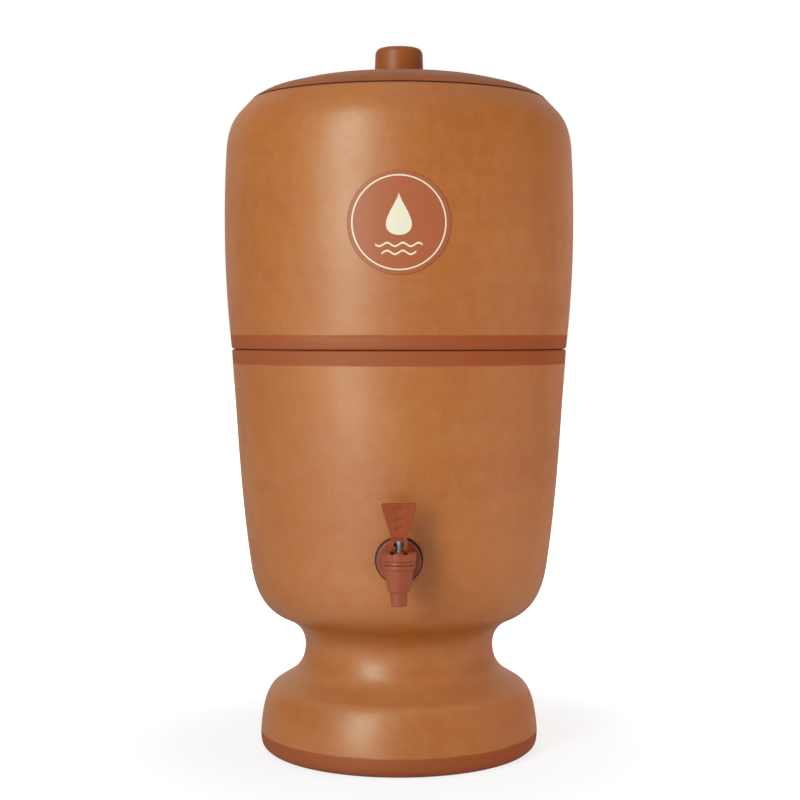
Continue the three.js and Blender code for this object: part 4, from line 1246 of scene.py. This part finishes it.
class BuildCandles(bpy.types.Operator):
    """Both ceramic candles with their carbon, bases, gaskets and wing nuts"""

    bl_idname = "clay_filter.candles"
    bl_label = "Filter candles"

    def execute(self, context):
        for side in SIDES:
            centre = middle(f"candle_shell_{side}")
            self.shell(side, centre)
            self.base(side, centre)
            self.nut(side, centre)
        return {"FINISHED"}

    def shell(self, side, centre):
        """Ceramic dome with a hollow, the carbon inside it and the gasket under its base."""
        c = settings().candle
        low, top = span(f"candle_shell_{side}")
        hollow = c.shell_radius - c.shell_wall
        height = top - low
        outer = [
            edge(hollow, low),
            edge(c.shell_radius, low, 0.6 * MM),
            soft(c.shell_radius, top, c.shell_radius / height, 1.0),
            edge(0.0, top),
        ]
        ceiling = top - c.shell_wall
        inner = [edge(0.0, ceiling), soft(hollow, ceiling, 1.0, hollow / height), edge(hollow, low)]
        wall = np.concatenate([outline(outer, 1.2 * MM), outline(inner, 2.0 * MM)[:-1]])
        mesh = mesh_of(upright(wall, ROUND_COLUMNS, centre), closed_rows=True)
        show(f"candle_shell_{side}", "ceramic", mesh, "porous_ceramic")
        low, top = span(f"candle_carbon_{side}")
        radius = c.shell_radius - c.shell_wall - 1.5 * MM
        carbon = [edge(0.0, low), edge(radius, low, 1 * MM), edge(radius, top, 2 * MM), edge(0.0, top)]
        mesh = mould_solid(carbon, centre, columns=48, spacing=2 * MM)
        show(f"candle_carbon_{side}", "packed", mesh, "packed_carbon")
        low, top = span(f"candle_gasket_{side}")
        inside = c.stem_radius + c.fit
        mesh = mould_ring(bar(inside, c.gasket_radius, low, top, 1.2 * MM), centre)
        show(f"candle_gasket_{side}", "rubber", mesh, "moulded_rubber")

    def base(self, side, centre):
        """Moulded base with a fluted rim, a socket and the threaded stem."""
        c = settings().candle
        node = f"candle_base_{side}"
        low, top = span(node)
        seat = span(f"candle_gasket_{side}")[1] + c.fit
        socket = c.shell_radius + c.fit
        rim = c.shell_radius + c.base_rim
        floor = top - c.socket_depth
        corners = [
            edge(c.stem_bore, low),
            edge(c.stem_radius, low, 0.8 * MM),
            edge(c.stem_radius, seat),
            edge(rim, seat, 2.0 * MM),
            edge(rim, top, 0.6 * MM),
            edge(socket, top, 0.4 * MM),
            edge(socket, floor),
            edge(c.stem_bore, floor),
        ]
        screw = thread(c.thread_pitch, c.thread_depth, low, seat - 1 * MM)

        def relief(r, z, angle):
            on_rim = (np.abs(r - rim) < 0.5 * MM) & (z < top - 1.5 * MM)
            on_stem = np.abs(r - c.stem_radius) < 0.2 * MM
            return flutes(0.25 * MM, BASE_FLUTES, angle) * on_rim + screw(r, z, angle) * on_stem

        mesh = mould_ring(corners, centre, columns=192, relief=relief, spacing=0.5 * MM)
        show(node, "moulded", mesh, "moulded_white")

    def nut(self, side, centre):
        """Wing nut: a hub with two rounded wings."""
        c = settings().candle
        node = f"candle_wing_nut_{side}"
        low, top = span(node)
        cx, cy = centre
        hub = bar(0.0, c.nut_radius, low, top, 0.8 * MM)
        half = c.wing_span / 2
        tip = top - c.wing_thickness / 2
        wing = np.array([[low, -half], [low, half], [tip, half], [tip, -half]]) + np.array([0.0, cx])
        wing = filled(np.concatenate([wing, wing[:1]]), 1.0 * MM)[:-1]
        zxy = plate(wing, cy - c.wing_thickness / 2, cy + c.wing_thickness / 2, 0.6 * MM)
        wings = mesh_of(zxy[..., [1, 2, 0]])
        mesh = carved(mould_solid(hub, centre), [wings], "UNION")
        mesh = carved(mesh, [rod(c.stem_radius + c.fit, low - c.fit, top + c.fit, centre)])
        show(node, "moulded", mesh, "moulded_white")


class BuildFloats(bpy.types.Operator):
    """Float valves: guide cups with drip holes and rods, bells, seals and retainers"""

    bl_idname = "clay_filter.floats"
    bl_label = "Float valves"

    def execute(self, context):
        for side in SIDES:
            centre = middle(f"float_bell_{side}")
            self.guide(side, centre)
            self.bell(side, centre)
            self.rings(side, centre)
        return {"FINISHED"}

    def guide(self, side, centre):
        """Cup under the candle's stem with drip holes in its plate, and the rod below."""
        c = settings().candle
        node = f"float_guide_{side}"
        low, top = span(node)
        plate_low = span(f"float_seal_{side}")[1] + c.float_rise + c.fit
        plate_high = plate_low + c.guide_plate
        socket = c.stem_radius + c.fit
        outside = socket + c.guide_wall
        corners = [
            edge(0.0, low),
            edge(c.rod_radius, low, 0.7 * MM),
            edge(c.rod_radius, plate_low, 0.4 * MM),
            edge(outside, plate_low, 0.8 * MM),
            edge(outside, top, 0.6 * MM),
            edge(socket, top),
            edge(socket, plate_high),
            edge(0.0, plate_high),
        ]

        def grip(r, z, angle):
            on_wall = (np.abs(r - outside) < 0.05 * MM) & (z > plate_low + 2 * MM) & (z < top - 2 * MM)
            return flutes(0.35 * MM, GUIDE_FLUTES, angle) * on_wall

        angles = (np.arange(DRIP_HOLES) + 0.5) * TURN / DRIP_HOLES
        places = np.array(centre) + c.drip_circle * np.column_stack([np.cos(angles), np.sin(angles)])
        holes = [rod(c.drip_radius, plate_low - c.fit, plate_high + c.fit, place, columns=20)
                 for place in places]
        mesh = carved(mould_solid(corners, centre, columns=80, relief=grip), holes)
        show(node, "moulded", mesh, "moulded_white")

    def bell(self, side, centre):
        """Air bell, open below, with a tube for the rod."""
        c = settings().candle
        node = f"float_bell_{side}"
        low, top = span(node)
        bore = c.rod_radius + c.fit
        tube = bore + c.float_wall
        ceiling = top - c.float_wall
        inside = c.float_radius - c.float_wall
        corners = [
            edge(bore, top),
            edge(bore, low),
            edge(tube, low, 0.4 * MM),
            edge(tube, ceiling, 1.0 * MM),
            edge(inside, ceiling, c.float_wall * 2),
            edge(inside, low, 0.4 * MM),
            edge(c.float_radius, low, 0.4 * MM),
            edge(c.float_radius, top, c.float_wall * 3),
        ]
        show(node, "moulded", mould_ring(corners, centre, columns=96), "moulded_blue")

    def rings(self, side, centre):
        """Silicone seal on the bell, and the ring under it that keeps it on the rod."""
        c = settings().candle
        bore = c.rod_radius + c.fit
        for node, radius, finish in ((f"float_seal_{side}", c.seal_radius, "moulded_silicone"),
                                     (f"float_retainer_{side}", c.retainer_radius, "moulded_white")):
            low, top = span(node)
            mesh = mould_ring(bar(bore, radius, low, top, 0.5 * MM), centre, spacing=0.4 * MM)
            show(node, "ring", mesh, finish)


class BuildTapBody(bpy.types.Operator):
    """Tap body with its flange and threaded shank, both washers and the lock nut"""

    bl_idname = "clay_filter.tap_body"
    bl_label = "Tap body"

    def execute(self, context):
        self.housing()
        self.washers()
        self.lock_nut()
        return {"FINISHED"}

    def housing(self):
        """Barrel and spout turned about the upright axis, joined to the arm, flange and shank turned along Y,
        then bored for chamber, outlet and water way."""
        t = settings().tap
        cx, cy = middle("tap_stem")
        z = t.shank_height
        top = z + t.collar_top
        barrel_end = top - t.barrel_drop
        spout_end = barrel_end - t.spout_length
        barrel = [
            edge(0.0, spout_end),
            edge(t.spout_end_radius, spout_end, 0.9 * MM),
            edge(t.spout_radius, barrel_end, 0.4 * MM),
            edge(t.barrel_end_radius, barrel_end, 0.7 * MM),
            edge(t.barrel_radius, top - t.collar_height, 0.4 * MM),
            edge(t.collar_radius, top - t.collar_height, 0.7 * MM),
            edge(t.collar_radius, top, 0.5 * MM),
            edge(t.thread_radius, top),
            edge(t.thread_radius, top + t.thread_height),
            edge(0.0, top + t.thread_height),
        ]
        flange_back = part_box("tap_flange_washer")[0].y - GAP
        flange_front = flange_back - t.flange_thickness
        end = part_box("tap_body")[1].y
        shank = [
            edge(0.0, cy),
            edge(t.arm_radius, cy),
            edge(t.arm_radius, flange_front, 1.8 * MM),
            edge(t.flange_radius, flange_front, 0.9 * MM),
            edge(t.flange_radius, flange_back, 0.3 * MM),
            edge(t.shank_radius, flange_back),
            edge(t.shank_radius, end, 0.8 * MM),
            edge(0.0, end),
        ]
        relief = thread(t.thread_pitch, t.thread_depth, flange_back + 1 * MM, end)

        def on_shank(r, y, angle):
            return relief(r, y, angle) * (np.abs(r - t.shank_radius) < 0.1 * MM)

        arm = mesh_of(lying(outline(shank, 0.3 * MM), (cx, z), columns=96, relief=on_shank))
        room = t.bonnet_radius + t.rib_radius + GAP
        arm = carved(arm, [rod(room, top, top + t.arm_radius * 2, (cx, cy))])
        seat = top - t.chamber_drop
        whole = mould_solid(barrel, (cx, cy), columns=96, spacing=0.6 * MM)
        whole = carved(whole, [arm], "UNION")
        whole = carved(whole, [
            rod(t.chamber_radius, seat, top + t.thread_height + 1 * MM, (cx, cy)),
            rod(t.outlet_radius, spout_end - 1 * MM, seat + 1 * MM, (cx, cy)),
            rod_along_y(t.shank_bore, cy, end + 1 * MM, cx, z - t.bore_drop),
        ])
        show("tap_body", "moulded", whole, "moulded_tap")

    def washers(self):
        """Rubber washers on both sides of the wall: flat towards flange or nut, curved like the clay."""
        v = settings().vessel
        skin = lower_corners(v)
        inner = inset(skin, v.clay_wall)[len(foot_corners(v)):]
        for node, face, wall, gap in (("tap_flange_washer", 0, skin, -WASHER_GAP),
                                      ("tap_inner_washer", 1, inner, WASHER_GAP)):
            mesh = self.washer(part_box(node)[face].y, outline(wall, 1 * MM), gap)
            show(node, "rubber", mesh, "moulded_rubber")

    def washer(self, flat, wall, gap):
        """Ring about the shank with a half-round rim, whose y goes from the flat face to the wall there."""
        t = settings().tap
        bulge = 0.9 * MM
        rim = t.washer_radius - bulge
        face = np.linspace(t.shank_radius + GAP, rim, 6)
        around = np.linspace(0.0, 1.0, 13) * math.pi
        reach = np.r_[face, rim + bulge * np.sin(around), face[::-1]][:, None]
        share = np.r_[0 * face, 0.5 - 0.5 * np.cos(around), 1 + 0 * face][:, None]
        grid = on_front(reach, t.shank_height, wall, columns=96)
        grid[..., 1] = flat + share * (grid[..., 1] + gap - flat)
        return mesh_of(grid, closed_rows=True)

    def lock_nut(self):
        """Six-sided nut: radius = half the flats over the cosine of the angle from the nearest flat, no
        further out than a chamfer cone at both faces."""
        t = settings().tap
        cx = middle("tap_stem")[0]
        low, high = (corner.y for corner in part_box("tap_lock_nut"))
        flat = t.nut_flats / 2
        corners = bar(t.shank_radius + GAP, flat, low, high)
        points = outline([*corners, corners[0]], 0.7 * MM)[:-1]
        cone_slope = 1.7

        def six_sides(r, y, angle):
            off = (angle + TURN / 12) % (TURN / 6) - TURN / 12
            chamfer = flat + np.minimum(y - low, high - y) * cone_slope
            return (np.minimum(flat / np.cos(off), chamfer) - r) * (r > flat - 0.05 * MM)

        grid = lying(points, (cx, t.shank_height), columns=96, relief=six_sides)
        mesh = mesh_of(grid, closed_rows=True)
        show("tap_lock_nut", "moulded", mesh, "moulded_tap")


class BuildTapValve(bpy.types.Operator):
    """Ribbed bonnet, silicone seat cup, stem and spring"""

    bl_idname = "clay_filter.tap_valve"
    bl_label = "Tap bonnet and valve"

    def execute(self, context):
        self.bonnet()
        self.cup()
        self.stem()
        self.spring()
        return {"FINISHED"}

    def bonnet(self):
        """Cap with a bead around its foot, half-round grip ribs and two slots for the lever's legs.
        A rib's relief is its radius times (root of (1 - s squared) - one half), s across it from -1 to 1."""
        t = settings().tap
        cx, cy = middle("tap_stem")
        low, top = span("tap_bonnet")
        inside = t.bonnet_radius - t.bonnet_wall
        under = top - t.bonnet_plate
        sleeve = t.stem_radius + GAP
        corners = [
            edge(sleeve, under),
            edge(inside, under),
            edge(inside, low),
            edge(t.bonnet_radius - t.bead_step, low, 0.5 * MM),
            edge(t.bonnet_radius - t.bead_step, low + t.bead_height - 0.5 * MM, 0.5 * MM),
            edge(t.bonnet_radius - t.bead_step * 2, low + t.bead_height, 0.2 * MM),
            edge(t.bonnet_radius, low + t.bead_height + t.bead_step, 0.2 * MM),
            edge(t.bonnet_radius, top, t.bead_step * 2),
            edge(sleeve, top),
        ]
        rib_low = low + t.bead_height + t.bead_step
        rib_high = top - t.bead_step * 2

        def ribs(r, z, angle):
            step = TURN / BONNET_RIBS
            off = angle % step - step / 2
            s = off * t.bonnet_radius / t.rib_radius
            raised = np.maximum(t.rib_radius * (np.sqrt(np.maximum(1 - s ** 2, 0)) - 0.5), 0)
            ends = np.clip((z - rib_low) / (0.3 * MM), 0, 1) * np.clip((rib_high - z) / (0.5 * MM), 0, 1)
            return raised * ends * (r > t.bonnet_radius - 0.3 * MM)

        mesh = mould_ring(corners, (cx, cy), columns=256, relief=ribs, spacing=0.35 * MM)
        slots = [block((cx + x - GAP, cy - t.bonnet_radius * 2, top - t.slot_depth),
                       (cx + x + t.leg_width + GAP, cy + t.bonnet_radius * 2, top + 1 * MM))
                 for x in leg_sides(t)]
        show("tap_bonnet", "ribbed", carved(mesh, slots), "moulded_tap")

    def cup(self):
        """Silicone cup that closes the outlet."""
        t = settings().tap
        centre = middle("tap_stem")
        low, top = span("tap_seat_cup")
        inside = t.cup_radius - t.cup_wall
        corners = [
            edge(0.0, low),
            edge(t.cup_radius, low, 0.9 * MM),
            edge(t.cup_radius, top - t.cup_flange, 0.4 * MM),
            edge(t.thread_radius, top - t.cup_flange, 0.3 * MM),
            edge(t.thread_radius, top, 0.3 * MM),
            edge(inside, top),
            edge(inside, low + t.cup_floor),
            edge(0.0, low + t.cup_floor),
        ]
        mesh = mould_solid(corners, centre)
        cup = show("tap_seat_cup", "silicone", mesh, "moulded_silicone")
        self.shorten(cup, low, top)

    def shorten(self, piece, low, top):
        """Gives the piece its own copy of its mesh; the share of its height that it would keep at full lift
        is worked out but not used.
        """
        t = settings().tap
        keep = 1.0 - t.lift / (top - low)
        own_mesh(piece)

    def stem(self):
        """Steel stem with a head below and a cross hole for the pin."""
        t = settings().tap
        low, top = span("tap_stem")
        corners = [
            edge(0.0, low),
            edge(t.stem_head, low, 0.3 * MM),
            edge(t.stem_head, low + t.head_height, 0.3 * MM),
            edge(t.stem_radius, low + t.head_height),
            edge(t.stem_radius, top, 0.6 * MM),
            edge(0.0, top),
        ]
        mesh = mould_solid(corners, middle("tap_stem"), columns=48, spacing=0.6 * MM)
        mesh = carved(mesh, [pin_hole(t.stem_radius * 2)])
        show("tap_stem", "steel", mesh, "drawn_steel")

    def spring(self):
        """Coil between the stem's head and the bonnet: a helix, x = r cos a, y = r sin a, with its height
        growing evenly."""
        t = settings().tap
        cx, cy = middle("tap_stem")
        low, top = span("tap_spring")
        wire = t.spring_wire / 2
        radius = (t.stem_radius + t.cup_radius - t.cup_wall) / 2
        share = np.linspace(0.0, 1.0, SPRING_TURNS * 48 + 1)
        angle = share * SPRING_TURNS * TURN
        outward = np.column_stack([np.cos(angle), np.sin(angle), 0 * angle])
        height = low + wire + share * (top - low - 2 * wire)
        path = np.column_stack([cx + radius * np.cos(angle), cy + radius * np.sin(angle), height])
        upward = np.broadcast_to([0.0, 0.0, 1.0], path.shape)
        mesh = mesh_of(swept(path, outward, upward, wire))
        spring = show("tap_spring", "wire", mesh, "drawn_steel")
        self.shorten(spring, low, top)


class BuildLever(bpy.types.Operator):
    """Forked lever with a finger paddle, and its pin"""

    bl_idname = "clay_filter.lever"
    bl_label = "Lever"

    def execute(self, context):
        t = settings().tap
        legs = [self.leg(x) for x in leg_sides(t)]
        whole = carved(self.paddle(), legs, "UNION")
        reach = t.leg_inside + t.leg_width
        show("tap_lever", "moulded", carved(whole, [pin_hole(reach * 2)]), "moulded_lever")
        x, y, z = lever_pin()
        mesh = rod_along_x(t.pin_radius, x - reach, x + reach, y, z, 0.25 * MM)
        # Dark steel on the pin: painted shade between the lever's legs
        show("tap_lever_pin", "steel", mesh, "blued_steel")
        return {"FINISHED"}

    def paddle(self):
        """Paddle on a grid of height and width: x = half width at z times sin v, and y is half the thickness,
        rounded off with a circle towards the outline. Three oval dents are pressed into its front."""
        t = settings().tap
        leg = t.leg_inside + t.leg_width
        top = t.paddle_start + t.paddle_height
        bottom = t.window_rise
        rounding = t.paddle_edge
        rows = np.unique(np.r_[
            np.linspace(bottom, top, 90),
            top - t.paddle_corner * np.linspace(0, 1, 24) ** 2,
            bottom + rounding * np.linspace(0, 1, 8) ** 2,
        ])
        width = np.interp(rows, [bottom, t.paddle_start, top], [leg, leg, t.paddle_width / 2])
        past = np.clip(rows - (top - t.paddle_corner), 0, t.paddle_corner)
        width -= t.paddle_corner - np.sqrt(t.paddle_corner ** 2 - past ** 2)
        v = np.sin(np.linspace(-0.25, 0.25, 65) * TURN)
        z = rows[:, None] + 0 * v
        x = width[:, None] * v
        inward = np.minimum(np.minimum(width[:, None] * (1 - np.abs(v)), top - z), z - bottom)
        short = rounding - np.clip(inward, 0, rounding)
        half = t.paddle_thickness / 2 - rounding + np.sqrt(np.maximum(rounding ** 2 - short ** 2, 0))
        ledge = np.clip((t.paddle_start - t.ledge_depth - z) / t.ledge_depth, 0, 1)
        front = -half - t.ledge_depth * ledge * np.clip(inward / rounding, 0, 1)
        for dent_height, half_width, half_height in DENTS:
            q = (x / half_width) ** 2 + ((z - dent_height) / half_height) ** 2
            front = front + t.dent_depth * np.maximum(1 - q, 0) ** DENT_ROUNDNESS
        face = np.stack([x, front, z], axis=-1)
        back = np.stack([x, half, z], axis=-1)
        sheet = np.concatenate([face, back[:, ::-1]], axis=1)
        ends = sheet[[0, -1]] * np.array([1.0, 0.0, 1.0])
        grid = np.concatenate([ends[:1], sheet, ends[1:]])
        return mesh_of(grid + lever_pin())

    def leg(self, x):
        """Leg cut from a side outline: its foot is the curve that rolls on the bonnet while the pin rises
        evenly with the tilt a, y = -d sin a - k cos a and z = -d cos a + k sin a with d = drop + k a."""
        t = settings().tap
        joint = next(joint for joint in frame["joints"] if joint["name"] == "lever_tilt")
        full = math.radians(joint["range_deg"][1])
        rate = t.lift / full
        tilt = np.linspace(full, 0.0, 24)
        drop = t.foot_drop + rate * tilt
        foot = np.column_stack([-drop * np.sin(tilt) - rate * np.cos(tilt),
                                -drop * np.cos(tilt) + rate * np.sin(tilt)])
        half = t.paddle_thickness / 2 - 0.15 * MM
        back = [
            [t.leg_back, -t.foot_drop],
            [t.leg_back, t.window_rise / 2],
            [half, t.paddle_start],
            [-half, t.paddle_start],
        ]
        shape = filled(np.concatenate([back, foot, back[:1]]), 0.5 * MM)[:-1]
        yzx = plate(shape, x, x + t.leg_width, 0.25 * MM)
        return mesh_of(yzx[..., [2, 0, 1]] + lever_pin())


class BuildStage(bpy.types.Operator):
    """Pale floor, soft studio light and the camera"""

    bl_idname = "clay_filter.stage"
    bl_label = "Stage"

    def execute(self, context):
        self.floor()
        self.world()
        self.lamps()
        self.camera()
        context.scene.view_settings.view_transform = "Standard"
        return {"FINISHED"}

    def floor(self):
        """Wide floor. The camera sees it white from afar and with a soft shadow near the filter. In
        reflections it glows brightest in front on the left, a painted pool of the key's light that the clay
        there reflects."""
        half = FLOOR_WIDTH / 2
        corners = [(-half, -half, 0.0), (half, -half, 0.0), (half, half, 0.0), (-half, half, 0.0)]
        mesh = bpy.data.meshes.new("floor")
        mesh.from_pydata(corners, [], [(0, 1, 2, 3)])
        material = bpy.data.materials.new("pale_floor")
        tree = blank_tree(material)
        place = Field(tree.nodes.new("ShaderNodeTexCoord").outputs["Object"])
        away = Field(add(tree, "ShaderNodeVectorMath", {0: place}, operation="LENGTH").outputs["Value"])
        # Painted light: front and left shape a glowing pool of the key's light, which the floor shows only in
        # reflections
        front = ramp(place.part("Y"), -0.25, 0.05, 1.0, 0.0)
        left = ramp(place.part("X"), -0.15, 0.15, 1.0, 0.0)
        rays = add(tree, "ShaderNodeLightPath").outputs
        seen = Field(rays["Is Camera Ray"]) * ramp(away, 0.12, 0.45, 0.55, 1.0)
        painted_light_pool = Field(rays["Is Glossy Ray"]) * ramp(front * left, 0.0, 1.0, 0.12, 0.95)
        matt = add(tree, "ShaderNodeBsdfDiffuse", {"Color": (*FLOOR_GREY, 1.0)})
        glow = add(tree, "ShaderNodeEmission", {"Strength": FLOOR_GLOW})
        shaders = {0: seen.larger(painted_light_pool), 1: Field(matt.outputs[0]), 2: Field(glow.outputs[0])}
        surface(tree, add(tree, "ShaderNodeMixShader", shaders))
        mesh.materials.append(material)
        floor = bpy.data.objects.new("floor", mesh)
        bpy.context.scene.collection.objects.link(floor)

    def world(self):
        """Surroundings: plain white to the camera; as light warm, dim in front, brighter behind and above."""
        world = bpy.data.worlds.new("studio")
        tree = blank_tree(world)
        rays = add(tree, "ShaderNodeLightPath").outputs
        seen = Field(rays["Is Camera Ray"]).larger(Field(rays["Is Transmission Ray"]))
        towards = Field(tree.nodes.new("ShaderNodeTexCoord").outputs["Generated"])
        behind = ramp(towards.part("Y"), 0.3, 0.95, 0.21, 0.74)
        above = ramp(towards.part("Z"), 0.6, 1.0, 0.0, 0.45)
        light = {"Color": mixed(seen, WARM_FILL, WHITE), "Strength": seen.larger(behind + above)}
        surface(tree, add(tree, "ShaderNodeBackground", light), "ShaderNodeOutputWorld")
        bpy.context.scene.world = world

    def lamps(self):
        """Tall, narrow key light on the left, and a card close by on the right that no reflection shows."""
        key = self.lamp("key", place=(-0.88, -1.43, 0.7), target=(0.0, 0.01, 0.28),
                        size=(0.42, 1.95), power=28.0)
        key.data.color = COOL_KEY
        card = self.lamp("card", place=(0.7, -0.25, 0.2), target=(0.0, 0.01, 0.2),
                         size=(0.6, 0.6), power=3.0)
        card.visible_glossy = False

    def lamp(self, name, place, target, size, power):
        """Rectangular area light that looks at a target."""
        light = bpy.data.lights.new(name, "AREA")
        light.shape = "RECTANGLE"
        light.size, light.size_y = size
        light.energy = power
        lamp = bpy.data.objects.new(name, light)
        lamp.location = place
        lamp.rotation_euler = (Vector(target) - Vector(place)).to_track_quat("-Z", "Y").to_euler()
        bpy.context.scene.collection.objects.link(lamp)
        return lamp

    def camera(self):
        """Camera in front of the tap, a little below the belly, looking slightly down."""
        data = bpy.data.cameras.new("camera")
        data.lens = CAMERA_LENS
        data.sensor_width = 36.0
        camera = bpy.data.objects.new("camera", data)
        camera.location = (CAMERA_SHIFT, axis()[1] - CAMERA_DISTANCE, CAMERA_HEIGHT)
        camera.rotation_euler = (math.radians(90.0 - CAMERA_PITCH), 0.0, 0.0)
        bpy.context.scene.collection.objects.link(camera)
        bpy.context.scene.camera = camera


class FilterPanel(bpy.types.Panel):
    """Steps and sizes of the clay filter"""

    bl_idname = "VIEW3D_PT_clay_filter"
    bl_label = "Clay filter"
    bl_space_type = "VIEW_3D"
    bl_region_type = "UI"
    bl_category = "Clay filter"

    def draw(self, context):
        for step in STEPS:
            self.layout.operator(step.bl_idname, text=step.bl_label)
        for name, group in GROUPS.items():
            box = self.layout.box()
            box.label(text=group.__doc__)
            for key in group.__annotations__:
                box.prop(getattr(context.scene, name), key)


STEPS = (BuildLowerVessel, BuildUpperVessel, BuildLid, BuildBadge, BuildCandles, BuildFloats, BuildTapBody,
         BuildTapValve, BuildLever, BuildStage)
GROUPS = {
    "vessel_sizes": VesselSizes,
    "lid_sizes": LidSizes,
    "candle_sizes": CandleSizes,
    "tap_sizes": TapSizes,
    "filter_colours": FilterColours,
}


def register():
    """Registers the groups, the operators and the panel."""
    for cls in (*GROUPS.values(), *STEPS, FilterPanel):
        bpy.utils.register_class(cls)
    for name, group in GROUPS.items():
        setattr(bpy.types.Scene, name, PointerProperty(type=group))


def unregister():
    """Takes them away again."""
    for name in GROUPS:
        delattr(bpy.types.Scene, name)
    for cls in (FilterPanel, *reversed(STEPS), *reversed(GROUPS.values())):
        bpy.utils.unregister_class(cls)


def main():
    """Builds every piece in order."""
    register()
    for step in STEPS:
        group, name = step.bl_idname.split(".")
        getattr(getattr(bpy.ops, group), name)()


if __name__ == "__main__":
    main()
